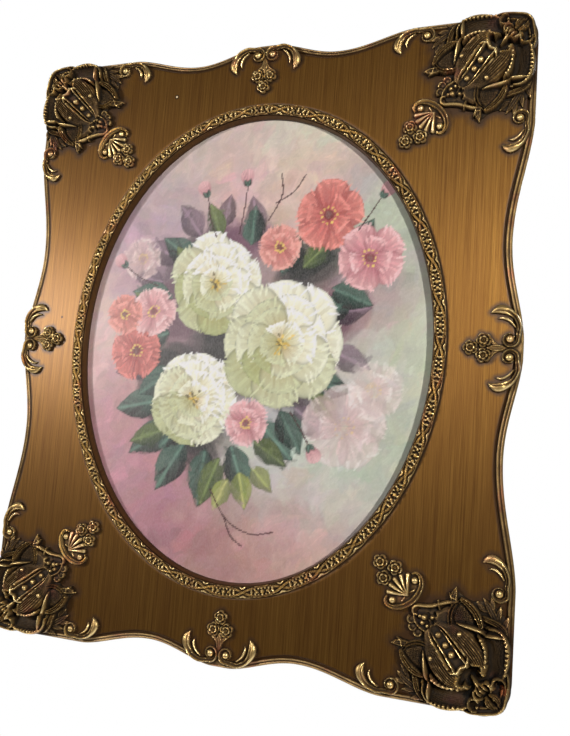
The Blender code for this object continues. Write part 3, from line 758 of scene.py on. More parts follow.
def on_corner(right, up):
    return lambda s, t: (right * (HALF[0] - (s + t) * D), up * (HALF[1] - (s - t) * D))


def on_side(right, up, from_middle=False):
    return lambda s, t: (right * (HALF[0] - t), up * (s if from_middle else HALF[1] - s))


def on_rail(right, up, from_middle=False):
    return lambda s, t: (right * (s if from_middle else HALF[0] - s), up * (HALF[1] - t))


LAID = []
for up, level in ((1, "top"), (-1, "bottom")):
    for right, hand in ((1, "right"), (-1, "left")):
        LAID.append(("cartouche", f"cartouche_{level}_{hand}", on_corner(right, up)))
        LAID.append(("pendant", f"pendant_{level}_{hand}", on_corner(right, up)))
        LAID.append(("scroll", f"side_scroll_{level}_{hand}", on_side(right, up)))
        LAID.append(("scroll", f"rail_scroll_{level}_{hand}", on_rail(right, up)))
LAID += [("spray", "spray_right", on_side(1, 1, True)), ("spray", "spray_left", on_side(-1, 1, True))]
LAID += [("spray", "spray_top", on_rail(1, 1, True)), ("spray", "spray_bottom", on_rail(1, -1, True))]
RUBBED = {"cartouche": -0.06, "pendant": 0.14, "scroll": 0.12, "spray": 0.14}
SHAPES = {kind: cut_out(piece, [crest_of(piece) + RUBBED[kind]]) for kind, piece in CASTINGS.items()}
castings = []
for kind, node, place in LAID:
    points, faces, (crest,) = SHAPES[kind]
    x, z = place(points[:, 0], points[:, 1])
    ends = [place(0.0, 0.0), place(1.0, 0.0), place(0.0, 1.0)]
    (sx, sz), (tx, tz) = [(b[0] - ends[0][0], b[1] - ends[0][1]) for b in ends[1:]]
    loops = faces if sx * tz - sz * tx > 0 else [face[::-1] for face in faces]
    laid = np.stack([x, FACE + GLUE + points[:, 2], z], 1)
    made = solid(f"cast_{node}", laid, loops, {"crest": crest}, 60.0)
    castings.append((made, node))
print(len(castings), "castings,", sum(triangles(made) for made, _ in castings), "triangles")

# %% [markdown]
# ## Frame
# One moulding runs round the frame: a side wall, a double rim bead with a groove inside it, the
# broad flat face, a sunk bed for the braid, and a short cove that leads down to the painting.
# It could be cut out of a board with modifiers, but a loft follows the real section better:
# each row of points follows either the outline or the oval, and the flat face blends from one
# to the other. Three painted values ride on it: dark glaze in the groove, which also carries
# painted shade round every casting and beside the braid and the rim bead; gilding on the rim
# bead, darkened by painted shade near the corners; and the bare back.

# %% Rows of the loft
EDGE_ROWS = [  # inset from the edge, depth, gilding, glaze
    (8.0, 0.0, 0, 0.3), (7.2, 0.5, 0, 0.4), (3.6, 12.0, 0, 0.75), (1.0, 20.5, 0, 0.9), (0.5, 23.0, 0, 1.0),
    (0.9, 24.2, 0.3, 1.0), (0.15, 25.4, 0.8, 0.4), (0.1, 26.6, 1.0, 0.1), (0.7, 27.8, 1.0, 0.0),
    (1.7, 28.6, 1.0, 0.0), (2.6, 28.4, 0.7, 0.3), (3.1, 27.9, 0.1, 0.9), (3.5, 28.3, 0.7, 0.4),
    (4.1, 29.4, 1.0, 0.0), (5.0, 29.9, 1.0, 0.0), (5.9, 29.5, 0.8, 0.2), (6.4, 28.6, 0.1, 0.9),
    (6.9, 27.8, 0.0, 1.0), (7.5, 27.5, 0.0, 1.0), (8.0, 28.0, 0.0, 1.0), (8.4, 29.4, 0.0, 1.0),
    (8.7, 29.9, 0.0, 0.8), (9.2, 30.0, 0.0, 0.55)]
OVAL_ROWS = [  # margin outside the opening's edge, depth, gilding, glaze
    (15.4, 30.0, 0, 0.8), (15.0, 29.8, 0, 0.95), (14.7, 29.2, 0, 1), (11.0, 29.1, 0, 1), (6.0, 29.1, 0, 1),
    (2.5, 29.2, 0, 1), (2.45, 29.8, 0.2, 0.8), (2.2, 30.0, 0.3, 0.6), (1.9, 29.6, 0.2, 0.6),
    (1.6, 28.8, 0, 0.62), (1.2, 27.6, 0, 0.58), (0.8, 26.4, 0, 0.6), (0.4, 25.2, 0, 0.68),
    (0.1, 24.3, 0, 0.8), (0.0, 23.9, 0, 0.9), (0.0, 21.8, 0, 1.0), (6.5, 21.8, 0, 0.5),
    (6.5, 0.2, 0, 0.3), (6.7, 0.0, 0, 0.2)]
FACE_ROWS = 40
GLAZE_AND_SHADE_REACH = 7.5  # the dark glaze and painted shade round a casting fade out this far from it
RIM_SHADE_CORNER, RIM_SHADE_FADE = 58.0, 26.0  # painted shade darkens the rim's gilding this near to a corner


def read_at(relief, s, t):
    """The reach of a casting's outline at these places, or far outside off its field."""
    i = np.clip(np.rint((s - relief.low[0]) / relief.step).astype(int), 0, relief.reach.shape[0] - 1)
    j = np.clip(np.rint((t - relief.low[1]) / relief.step).astype(int), 0, relief.reach.shape[1] - 1)
    off = np.hypot(s - relief.S[i, 0], t - relief.T[0, j])
    return relief.reach[i, j] - off


def glaze_and_shade_round_castings(x, z):
    """Dark glaze and painted shade round the castings, strongest against them."""
    x, z = np.abs(x), np.abs(z)
    dx, dz = HALF[0] - x, HALF[1] - z
    reach = np.maximum(read_at(CASTINGS["cartouche"], (dx + dz) * D, (dx - dz) * D),
                       read_at(CASTINGS["cartouche"], (dx + dz) * D, (dz - dx) * D)) * 0.55
    for kind, s, t in (("pendant", (dx + dz) * D, (dx - dz) * D), ("scroll", dz, dx), ("scroll", dx, dz),
                       ("spray", z, dx), ("spray", x, dz)):
        reach = np.maximum(reach, read_at(CASTINGS[kind], s, t))
    return np.clip(1 + reach / GLAZE_AND_SHADE_REACH, 0, 1) ** 1.2


print("rows", len(EDGE_ROWS), "at the edge,", FACE_ROWS, "on the face,", len(OVAL_ROWS), "at the oval")

# %% Frame
rows = [(EDGE + INWARD * inset, depth, gild, glaze_and_shade) for inset, depth, gild, glaze_and_shade in EDGE_ROWS]
outer, inner = rows[-1][0], oval(OVAL_ROWS[0][0])
for step in range(1, FACE_ROWS):
    share = step / FACE_ROWS
    rows.append((outer + (inner - outer) * share, FACE, 0.0, 0.0))
rows += [(oval(margin), depth, gild, glaze_and_shade) for margin, depth, gild, glaze_and_shade in OVAL_ROWS]
rear_oval = oval(OVAL_ROWS[-1][0])
for share in (0.25, 0.5, 0.75):
    rows.append((rear_oval + (EDGE + INWARD * EDGE_ROWS[0][0] - rear_oval) * share, 0.0, 0.0, 0.0))
count = len(EDGE)
flat = np.vstack([points for points, _, _, _ in rows])
depth = np.repeat([row[1] for row in rows], count)
gild = np.repeat([row[2] for row in rows], count)
glaze_and_shade = np.repeat([float(row[3]) for row in rows], count)
to_corner = np.hypot(HALF[0] - np.abs(flat[:, 0]), HALF[1] - np.abs(flat[:, 1]))
# painted shade: the rim's gilding fades to dark towards each corner, beside the corner carving
gild *= np.clip((to_corner - RIM_SHADE_CORNER) / RIM_SHADE_FADE, 0.12, 1.0)
on_front = depth > 25.0
# dark glaze and painted shade round the castings
shade = np.where(on_front, glaze_and_shade_round_castings(flat[:, 0], flat[:, 1]), 0.0)
# painted shade: a dark band on the face that fades out from the rim bead and from the braid
inset_shade = np.zeros(len(flat))
first = len(EDGE_ROWS) - 1
for step in range(FACE_ROWS + 1):
    part = slice((first + step) * count, (first + step + 1) * count)
    to_rim = np.linalg.norm(flat[part] - outer, axis=1)
    to_braid = np.linalg.norm(flat[part] - inner, axis=1)
    inset_shade[part] = np.maximum(0.6 * np.exp(-to_rim / 2.2), 0.75 * np.exp(-to_braid / 2.0))
glaze_and_shade = np.clip(np.maximum(np.maximum(glaze_and_shade, inset_shade), shade), 0, 1)
faces = []
for r in range(len(rows)):
    a, b = r * count, (r + 1) % len(rows) * count
    faces += [(a + i, b + i, b + (i + 1) % count, a + (i + 1) % count) for i in range(count)]
points = np.stack([flat[:, 0], depth, flat[:, 1]], 1)
back = (depth < 0.6).astype(float)
moulding = solid("frame_moulding", points, faces, {"glaze_and_shade": glaze_and_shade, "gild": gild, "back": back}, 38.0)
bm = bmesh.new()
bm.from_mesh(moulding.data)
bmesh.ops.recalc_face_normals(bm, faces=bm.faces)
bm.to_mesh(moulding.data)
bm.free()
print("frame", triangles(moulding), "triangles")

# %% [markdown]
# ## Oval braid
# Two ribbons cross, part round small flowers and cross again, all the way round the oval. On
# the real frame it is a strip pressed from one short mould and bent to the oval, so it is made
# the same way here: one length of the pattern is a mesh, and a Geometry Nodes tree repeats it
# in a row and bends the row round the oval. The oval's sizes and the number of repeats are
# inputs of the tree, so the braid can be fitted to another opening.

# %% One length of the braid
REPEATS = 34
MIDDLE = OPENING + (BRAID_IN + BRAID_OUT) / 2
AROUND = math.pi * (3 * MIDDLE.sum() - math.sqrt((3 * MIDDLE[0] + MIDDLE[1]) * (MIDDLE[0] + 3 * MIDDLE[1])))
LENGTH = AROUND / REPEATS


def braid_length():
    piece = Relief((0.0, -5.9), (LENGTH, 5.9), LENGTH / 72)
    piece.reach[:] = 1.0
    piece.height[:] = 0.9
    for side in (1.0, -1.0):
        piece.strap([(s, side * 5.55, 0.5, 2.6) for s in (-6, LENGTH / 2, LENGTH + 6)], reed)
        wave = []
        for step in range(-2, 19):
            s = LENGTH * step / 16
            bulge = math.sin(math.pi * s / LENGTH)
            wave.append((s, side * 4.7 * math.copysign(abs(bulge) ** 0.8, bulge), 1.15,
                         3.8 + 0.4 * side * math.cos(math.pi * s / LENGTH)))
        piece.strap(wave, channel)
        for s in (0.0, LENGTH):
            piece.strap([(s - 3.6, side * 4.9, 0.4, 2.4), (s, side * 3.9, 1.3, 3.6),
                         (s + 3.6, side * 4.9, 0.4, 2.4)], reed)
            for away in (-2.1, 2.1):
                piece.ball(s + away, side * 4.6, 0.8, 3.2)
        for step in range(9):
            s = LENGTH * (step + 1.5) / 11
            spread = 4.7 * math.sin(math.pi * s / LENGTH) ** 0.8 - 1.9
            if spread > 0.6:
                piece.ball(s, side * spread, 0.95, 3.3)
    for place, size in ((0.5, 2.5), (0.355, 2.1), (0.645, 2.1), (0.235, 1.5), (0.765, 1.5)):
        piece.rose(LENGTH * place, 0.0, size, 3.9, 20.0 + 90 * place)
    return piece


braid_field = braid_length()
columns, lanes = braid_field.S.shape
top = np.stack([braid_field.S, braid_field.T, braid_field.height], -1)
low = np.stack([braid_field.S, braid_field.T, np.zeros_like(braid_field.S)], -1)[:, [-1, 0]]
loop = np.concatenate([top, low], 1)
crest = np.concatenate([1.25 * crest_of(braid_field) + 0.12, np.zeros((columns, 2))], 1)
size = lanes + 2
faces = []
for c in range(columns - 1):
    faces += [(c * size + i, (c + 1) * size + i, (c + 1) * size + (i + 1) % size, c * size + (i + 1) % size)
              for i in range(size)]
strip = solid("oval_ribbon", loop.reshape(-1, 3), faces, {"crest": crest.ravel()})
strip.data.vertices.foreach_set("co", (loop.reshape(-1, 3) * MM).ravel())
print("length of the pattern", round(LENGTH, 2), "mm,", len(faces), "faces")

# %% [markdown]
# ### Words for building a node tree
# A tree is easier to read when each node is one line that says what goes into it. The helper
# adds a node and fills its inputs: a socket is linked, and anything else becomes a value.


# %% Words for building a node tree
def net(tree):
    """A function that adds a node, with its settings and with values or links for its inputs."""
    def add(kind, links=None, **settings):
        made = tree.nodes.new(kind)
        for key, value in settings.items():
            setattr(made, key, value)
        for key, value in (links or {}).items():
            if isinstance(value, bpy.types.NodeSocket):
                tree.links.new(value, made.inputs[key])
            else:
                made.inputs[key].default_value = value
        return made
    return add


def sums(add, way, a, b):
    return add("ShaderNodeMath", {0: a, 1: b}, operation=way).outputs[0]


print("node words ready, the pattern repeats", REPEATS, "times in", round(AROUND), "mm")

# %% [markdown]
# ### Bending the braid
# The tree sets copies of the length in a row, reads how far along the row each point is, and
# finds the place and direction of that share of the oval. The point moves there and keeps its
# distance across the strip. A curve modifier could bend it too, but it would need a curve
# object, and its length would have to be matched by hand.

# %% Tree that repeats it and bends it round the oval
WELD = 0.00003  # metres: the ends of neighbouring copies meet within this
OVAL_POINTS = 720  # points of the curve that the row is bent along


def braid_tree(finish):
    tree = bpy.data.node_groups.new("bend_round_oval", "GeometryNodeTree")
    for name, kind in (("Geometry", "Geometry"), ("Repeats", "Int"), ("Length", "Float"),
                       ("Half Width", "Float"), ("Half Height", "Float")):
        tree.interface.new_socket(name, in_out="INPUT", socket_type=f"NodeSocket{kind}")
    tree.interface.new_socket("Geometry", in_out="OUTPUT", socket_type="NodeSocketGeometry")
    add = net(tree)
    given = add("NodeGroupInput").outputs
    step = add("ShaderNodeCombineXYZ", {0: given["Length"]})
    line = add("GeometryNodeMeshLine", {"Count": given["Repeats"], "Offset": step.outputs[0]})
    spread = add("GeometryNodeInstanceOnPoints", {"Points": line.outputs[0], "Instance": given["Geometry"]})
    whole = add("GeometryNodeRealizeInstances", {0: spread.outputs[0]})
    parts = add("ShaderNodeSeparateXYZ", {0: add("GeometryNodeInputPosition").outputs[0]}).outputs
    share = sums(add, "DIVIDE", parts[0], sums(add, "MULTIPLY", given["Length"], given["Repeats"]))
    circle = add("GeometryNodeCurvePrimitiveCircle", {"Resolution": OVAL_POINTS, "Radius": 1.0})
    stretch = add("ShaderNodeCombineXYZ", {0: given["Half Width"], 1: given["Half Height"], 2: 1.0})
    squash = add("GeometryNodeTransform", {"Geometry": circle.outputs[0], "Scale": stretch.outputs[0]})
    along = add("GeometryNodeSampleCurve", {"Curves": squash.outputs[0], "Factor": share}, mode="FACTOR")
    tangent, spot = along.outputs["Tangent"], along.outputs["Position"]
    out = add("ShaderNodeVectorMath", {0: tangent, 1: (0.0, 0.0, -1.0)}, operation="CROSS_PRODUCT")
    shift = add("ShaderNodeVectorMath", {0: out.outputs[0], "Scale": parts[1]}, operation="SCALE")
    lift = add("ShaderNodeCombineXYZ", {2: parts[2]})
    first = add("ShaderNodeVectorMath", {0: spot, 1: shift.outputs[0]})
    second = add("ShaderNodeVectorMath", {0: first.outputs[0], 1: lift.outputs[0]})
    bend = add("GeometryNodeSetPosition", {"Geometry": whole.outputs[0], "Position": second.outputs[0]})
    weld = add("GeometryNodeMergeByDistance", {"Geometry": bend.outputs[0], "Distance": WELD})
    real = add("GeometryNodeRealizeInstances", {0: weld.outputs[0]})
    gilded = add("GeometryNodeSetMaterial", {"Geometry": real.outputs[0], "Material": finish})
    add("NodeGroupOutput", {0: gilded.outputs[0]})
    print("braid tree", len(tree.nodes), "nodes")
    return tree


print("the row is bent along", OVAL_POINTS, "points")


# %% Braid bent round the oval
def socket_of(tree, name):
    return next(i.identifier for i in tree.interface.items_tree if i.name == name and i.in_out == "INPUT")


def bend_braid(finish):
    """The finished braid as a plain mesh, turned up to stand on the frame's face."""
    tree = braid_tree(finish)
    bend = strip.modifiers.new("bend", "NODES")
    bend.node_group = tree
    for name, value in (("Repeats", REPEATS), ("Length", LENGTH * MM),
                        ("Half Width", float(MIDDLE[0]) * MM), ("Half Height", float(MIDDLE[1]) * MM)):
        bend[socket_of(tree, name)] = value
    graph = bpy.context.evaluated_depsgraph_get()
    mesh = bpy.data.meshes.new_from_object(strip.evaluated_get(graph), depsgraph=graph)
    strip.modifiers.remove(bend)
    spots = np.empty(len(mesh.vertices) * 3)
    mesh.vertices.foreach_get("co", spots)
    spots = spots.reshape(-1, 3)
    stood = np.stack([spots[:, 0], -(FACE - 0.1) * MM - spots[:, 2], spots[:, 1] - HANG * MM], 1)
    mesh.vertices.foreach_set("co", stood.ravel())
    strip.data = mesh
    mesh.shade_smooth()
    mesh.update()
    return strip


print("straight length", round(max(v.co.x for v in strip.data.vertices) * 1000, 1), "mm, bent later")

# %% [markdown]
# ## Painting
# The picture is oil on a thin board, held behind the sight edge. It is a bouquet on a pink
# and lilac ground that turns grey-green to the right, with full cream flowers in the middle,
# pink and coral blossoms round them, and dark blue-green leaves. A shader could fake it with
# noise, but a painter's order of work gives better shapes: dab over dab, onto the points of a
# fine mesh. Each dab mixes its colour in and leaves a little body of paint, so the brushwork
# is real relief.


# %% Canvas and brushes
def paint(r, g, b):
    """A colour as mixed on the palette, turned into linear light."""
    c = np.array([r, g, b]) / 255
    return np.where(c < 0.04045, c / 12.92, ((c + 0.055) / 1.055) ** 2.4)


class Canvas:
    """Colour and body of paint over a grid of points, and the brushes that lay them on."""

    def __init__(self, step):
        self.step = step
        x = np.arange(-BOARD[0] - step, BOARD[0] + step * 1.5, step)
        z = np.arange(-BOARD[1] - step, BOARD[1] + step * 1.5, step)
        self.X, self.Z = np.meshgrid(x, z, indexing="ij")
        self.colour = np.zeros((*self.X.shape, 3))
        self.body = np.zeros_like(self.X)
        self.chance = np.random.default_rng(7)
        self.streak = self.chance.normal(0, 1, 4096)

    def part(self, x, z, far):
        """The part of the grid within this distance of a place."""
        i = int((x - far - self.X[0, 0]) / self.step), int((x + far - self.X[0, 0]) / self.step) + 2
        j = int((z - far - self.Z[0, 0]) / self.step), int((z + far - self.Z[0, 0]) / self.step) + 2
        return slice(max(i[0], 0), max(i[1], 0)), slice(max(j[0], 0), max(j[1], 0))

    def stroke(self, x, z, margin, long, wide, turn):
        """The grid near a stroke, with u along it and v across it as shares of its size."""
        part = self.part(x, z, long + margin)
        dx, dz = self.X[part] - x, self.Z[part] - z
        c, d = math.cos(turn), math.sin(turn)
        return part, (dx * c + dz * d) / long, (-dx * d + dz * c) / wide

    def lay(self, part, mask, colour, body):
        mask = np.clip(mask, 0, 1)[..., None]
        self.colour[part] = self.colour[part] * (1 - mask) + colour * mask
        self.body[part] = np.maximum(self.body[part] * (1 - 0.7 * mask[..., 0]), body * mask[..., 0])

    def dab(self, x, z, long, wide, turn, colour, load=0.85, body=0.1, bend=0.0):
        part, u, v = self.stroke(x, z, 2, long, wide, turn)
        if u.size == 0:
            return
        v = v + bend * (u * u - 0.3)
        edge = 1 - (u * u + v * v)
        hairs = self.streak[(np.abs(v * 7 + x * 13).astype(int) * 31 + int(abs(z) * 7)) % 4096]
        mask = np.clip(edge * 4, 0, 1) * load * (1 + 0.14 * hairs * np.clip(np.abs(u) + 0.2, 0, 1))
        tint = colour * (1 + 0.05 * hairs[..., None])
        self.lay(part, mask, tint, body * (0.5 + 0.5 * np.clip(edge, 0, 1) + 0.3 * hairs * 0.3))

    def petal(self, x, z, long, wide, turn, root, tip, load=0.95, body=0.2, dark_edge=0.0):
        """A petal from its root outwards: narrow first, broad near its rounded tip."""
        part, u, v = self.stroke(x, z, 3, long, wide, turn)
        if u.size == 0:
            return
        half = np.sqrt(np.clip(1 - ((u - 0.56) / 0.46) ** 2, 0, 1)) * (0.62 + 0.45 * np.clip(u, 0, 1))
        edge = half - np.abs(v)
        fan = np.abs(np.arctan2(v, u + 0.2) * 9 + x).astype(int)
        hairs = self.streak[(fan * 17 + int(abs(z) * 5)) % 4096]
        mix = np.clip(u * 1.05 + 0.08 * hairs, 0, 1)[..., None]
        tint = (root * (1 - mix) + tip * mix) * (1 + 0.05 * hairs[..., None])
        tint = tint * (1 - dark_edge * np.exp(-np.clip(edge, 0, 1) / 0.10))[..., None]
        self.lay(part, np.clip(edge * wide / 1.4, 0, 1) * load, tint, body * (0.5 + 0.5 * np.clip(u, 0, 1)))

    def lip(self, x, z, long, wide, turn, tint, load=0.8, count=7):
        """Short light strokes just inside a petal's rounded tip."""
        for step in range(count):
            v = -0.8 + 1.6 * step / (count - 1) + self.chance.normal(0, 0.08)
            u = 0.56 + 0.40 * math.sqrt(max(1 - v * v, 0.05))
            out, off = u * long, v * wide * 0.9
            spot_x = x + out * math.cos(turn) - off * math.sin(turn)
            spot_z = z + out * math.sin(turn) + off * math.cos(turn)
            along = turn + math.pi / 2 - 1.1 * v
            stroke = tint * self.chance.uniform(0.9, 1.07)
            self.dab(spot_x, spot_z, 0.17 * wide + 2.0, 1.5, along, stroke, load, 0.28)

    def leaf(self, x, z, long, wide, turn, dark, light, load=0.95):
        """A pointed leaf, dark on one side of its pale vein and light on the other."""
        part, u, v = self.stroke(x, z, 3, long, wide, turn)
        if u.size == 0:
            return
        half = np.sin(np.pi * np.clip(u, 0, 1) ** 0.85) * (1 - 0.25 * u)
        edge = half - np.abs(v)
        hairs = self.streak[(np.abs((np.abs(v) * 6 - u * 9)).astype(int) * 13 + int(abs(x) * 3)) % 4096]
        mix = np.clip(0.5 + 0.75 * v * np.sign(math.cos(turn) + 0.01) + 0.16 * hairs, 0, 1)[..., None]
        tint = dark * (1 - mix) + light * mix
        rib = np.exp(-(v / 0.09) ** 2) * (u > 0.04) * (u < 0.93)
        vein = np.minimum(light * 2.2, 0.8)
        tint = tint * (1 - 0.6 * rib[..., None]) + vein * 0.6 * rib[..., None]
        tint = tint * (1 - 0.6 * np.exp(-np.clip(edge, 0, 1) / 0.1))[..., None]
        self.lay(part, np.clip(edge * wide / 1.2, 0, 1) * load, tint, 0.12)

    def line(self, points, wide, colour, load=0.9):
        """A thin stroke that tapers towards its end."""
        path = flowing([(*p, wide, 0.0) for p in points])
        for k, (x, z, w, _) in enumerate(path[::2]):
            taper = 1 - 0.7 * k * 2 / len(path)
            self.dab(x, z, max(w * taper, 0.9), max(w * taper, 0.9), 0.0, colour, load, 0.12)


GRID = 1.42  # distance between the canvas's points
canvas = Canvas(GRID)
print("canvas", canvas.X.shape)

# %% [markdown]
# ### Ground colours
# Broad areas come first, each a soft pool of one colour that fades into the next. Then come
# many loose scumbled strokes that break the pools up, as on the real board. A last pass goes
# over them with the colours already there, each stroke along the form, to knit them together.

# %% Ground
PINK, ROSE, LILAC = paint(220, 182, 178), paint(194, 146, 152), paint(182, 156, 168)
PALE, SAGE, MIST = paint(204, 190, 182), paint(182, 192, 172), paint(200, 206, 204)
POOLS = [  # right, up, reach, colour
    (-60, 215, 75, PALE), (60, 220, 80, paint(206, 204, 186)), (-120, 130, 70, LILAC), (-20, 170, 60, PINK),
    (140, 120, 60, SAGE), (60, 165, 50, paint(228, 186, 176)), (-170, 20, 70, paint(216, 184, 180)),
    (-150, -80, 70, ROSE), (-110, -170, 70, paint(184, 138, 148)), (-30, -215, 70, paint(174, 132, 130)),
    (70, -190, 70, paint(196, 158, 150)), (-150, 62, 34, paint(168, 134, 150)),
    (96, 178, 30, paint(172, 148, 160)), (-92, -196, 34, paint(172, 118, 134)),
    (70, 196, 32, paint(222, 184, 172)), (-40, 196, 30, paint(214, 172, 166)),
    (150, 40, 30, paint(190, 160, 168)), (40, -120, 60, MIST), (150, -100, 60, SAGE),
    (170, 0, 60, paint(196, 204, 180)), (120, 55, 45, paint(150, 104, 122)),
    (120, -40, 50, paint(206, 196, 198)), (0, 30, 90, paint(150, 130, 132)),
    (100, -150, 50, paint(196, 206, 200)), (-60, 60, 60, paint(170, 146, 156))]
weight = np.zeros_like(canvas.X)
for x, z, far, colour in POOLS:
    pull = np.exp(-((canvas.X - x) ** 2 + (canvas.Z - z) ** 2) / (0.9 * far) ** 2) + 1e-4
    canvas.colour += pull[..., None] * colour
    weight += pull
canvas.colour /= weight[..., None]
scumble = canvas.chance
for stroke in range(1500):
    angle, far = scumble.uniform(0, 2 * math.pi), math.sqrt(scumble.uniform(0, 1))
    x, z = BOARD[0] * far * math.cos(angle), BOARD[1] * far * math.sin(angle)
    i = int((x - canvas.X[0, 0]) / canvas.step), int((z - canvas.Z[0, 0]) / canvas.step)
    found = canvas.colour[i[0] % canvas.X.shape[0], i[1] % canvas.X.shape[1]]
    tint = found * (1 + scumble.normal(0, 0.10)) * (1 + scumble.normal(0, 0.055, 3))
    canvas.dab(x, z, scumble.uniform(10, 26), scumble.uniform(4, 8), scumble.normal(0.7, 0.7), tint,
               0.4, 0.05, scumble.uniform(-0.5, 0.5))
print("ground laid in", len(POOLS), "pools")


# %% Going over it again
def rework(count, long, wide, load, loose):
    """Goes over the picture with the colours already there, each stroke laid along the form."""
    under = canvas.colour.copy()
    tone = soften(under.mean(2), 3)
    down_x, down_z = np.gradient(tone)
    steep = np.hypot(down_x, down_z)
    for _ in range(count):
        angle, far = scumble.uniform(0, 2 * math.pi), math.sqrt(scumble.uniform(0, 1))
        x, z = BOARD[0] * far * math.cos(angle), BOARD[1] * far * math.sin(angle)
        i = min(int((x - canvas.X[0, 0]) / canvas.step), under.shape[0] - 1)
        j = min(int((z - canvas.Z[0, 0]) / canvas.step), under.shape[1] - 1)
        along = math.atan2(down_x[i, j], -down_z[i, j]) if steep[i, j] > 0.004 else scumble.normal(0.8, 0.5)
        tint = under[i, j] * (1 + scumble.normal(0, loose)) * (1 + scumble.normal(0, 0.45 * loose, 3))
        canvas.dab(x, z, scumble.uniform(0.6, 1.2) * long, scumble.uniform(0.7, 1.2) * wide,
                   along + scumble.normal(0, 0.25), tint, load, 0.2, scumble.uniform(-0.4, 0.4))


rework(1500, 15.0, 6.0, 0.45, 0.03)
print("ground painted")

# %% [markdown]
# ### Leaves, full flowers and blossoms
# Leaves go on before flowers, dark ones first. A full cream flower is a shaded disc covered
# with four rings of petals, from the widest to the heart, and lit from above. A blossom is
# five petals with three smaller ones on them, round a stippled heart. Thin twigs are drawn
# last with a loaded liner brush. One function paints each kind, so a flower is one line in a
# list.


# %% How a leaf group, a full flower and a blossom are painted
GOLDEN, SHADE_CREAM = paint(226, 210, 128), paint(104, 112, 84)
CREAM_LIGHT, CREAM_SHADE = paint(248, 248, 232), paint(182, 188, 134)
STAMENS = paint(208, 176, 84), paint(232, 206, 116), paint(104, 92, 60)
PETAL_RINGS = ((1.0, 8, 0.50), (0.78, 7, 0.44), (0.56, 6, 0.36), (0.36, 5, 0.22))  # reach, count, width


def leaf_group(spots, dark, light, load=0.95):
    for x, z, long, wide, turn in spots:
        warm = 1 + scumble.normal(0, 0.10)
        canvas.leaf(x, z, long, wide, math.radians(turn), dark * warm, light * warm, load)


def bloom(x, z, far, turn):
    """A full cream flower, ring over ring of petals, each one brushed over along its length."""
    canvas.dab(x, z, far * 0.96, far * 0.9, 0.3, SHADE_CREAM, 0.9, 0.06)
    for ring_of, (reach, count, wide) in enumerate(PETAL_RINGS):
        for p in range(count):
            angle = turn + 2 * math.pi * (p + 0.5 * ring_of) / count + scumble.normal(0, 0.06)
            long = far * reach * scumble.uniform(0.90, 1.07)
            lit = min(max(0.62 + 0.45 * math.sin(angle + 0.6) + scumble.normal(0, 0.16), 0), 1)
            tip = CREAM_SHADE * (1 - lit) + CREAM_LIGHT * lit
            root = (GOLDEN * 0.8 if (p + ring_of) % 3 else paint(204, 172, 96)) * (0.6 + 0.35 * lit)
            canvas.petal(x, z, long, far * wide, angle, root, tip, 0.95, 0.24, 0.72)
            canvas.lip(x, z, long, far * wide, angle, np.minimum(tip * (0.95 + 0.25 * lit), 0.92), 0.85, 9)
            for _ in range(7):
                out, off = scumble.uniform(0.42, 0.9), scumble.normal(0, 0.16 * wide / reach)
                spot = x + long * out * math.cos(angle + off), z + long * out * math.sin(angle + off)
                tint = (root * (1 - out) + tip * out) * scumble.uniform(0.82, 1.16)
                canvas.dab(*spot, long * 0.17, 1.7, angle + 1.3 * off, np.minimum(tint, 0.93), 0.6, 0.27)
    for _ in range(26):
        angle, out = scumble.uniform(0, 2 * math.pi), far * abs(scumble.normal(0, 0.09))
        canvas.dab(x + out * math.cos(angle), z + out * math.sin(angle), 2.6, 1.3, angle,
                   STAMENS[int(angle * 3) % 3], 0.85, 0.3)


def blossom(x, z, far, root, tip, heart, turn, load=0.96):
    """Five broad petals, three smaller ones on them, and a heart ringed with stamens."""
    for p in (0, 2, 4, 1, 3, 5.4, 7.2, 9.3):
        inner = 1.0 if p < 5 else 0.62
        angle = math.radians(turn + 72 * p) + scumble.normal(0, 0.05)
        long = far * inner * scumble.uniform(0.94, 1.05)
        petal_tip = np.minimum(tip * (1 + scumble.normal(0, 0.05)), 0.95)
        canvas.petal(x, z, long, far * 0.60 * inner, angle, root * 0.85, petal_tip * 0.94, load, 0.24, 0.45)
        edge = np.minimum(petal_tip * 1.25 + 0.03, 0.9)
        canvas.lip(x, z, long, far * 0.60 * inner, angle, edge, 0.7 * load)
        for _ in range(6):
            out, off = scumble.uniform(0.4, 0.9), scumble.normal(0, 0.22)
            spot = x + long * out * math.cos(angle + off), z + long * out * math.sin(angle + off)
            tint = (root * (1 - out) + petal_tip * out) * scumble.uniform(0.8, 1.25)
            canvas.dab(*spot, long * 0.2, 1.5, angle + 1.2 * off, np.minimum(tint, 0.93), 0.55 * load, 0.26)
    canvas.dab(x, z, far * 0.17, far * 0.15, 0.0, heart, 0.9 * load, 0.22)
    for p in range(11):
        angle = 2 * math.pi * p / 11 + turn
        reach = far * scumble.uniform(0.17, 0.27)
        canvas.dab(x + reach * math.cos(angle), z + reach * math.sin(angle), 1.5, 1.3, 0.0,
                   paint(232, 206, 110), 0.85 * load, 0.3)


print("a full flower has", sum(count for _, count, _ in PETAL_RINGS), "petals")

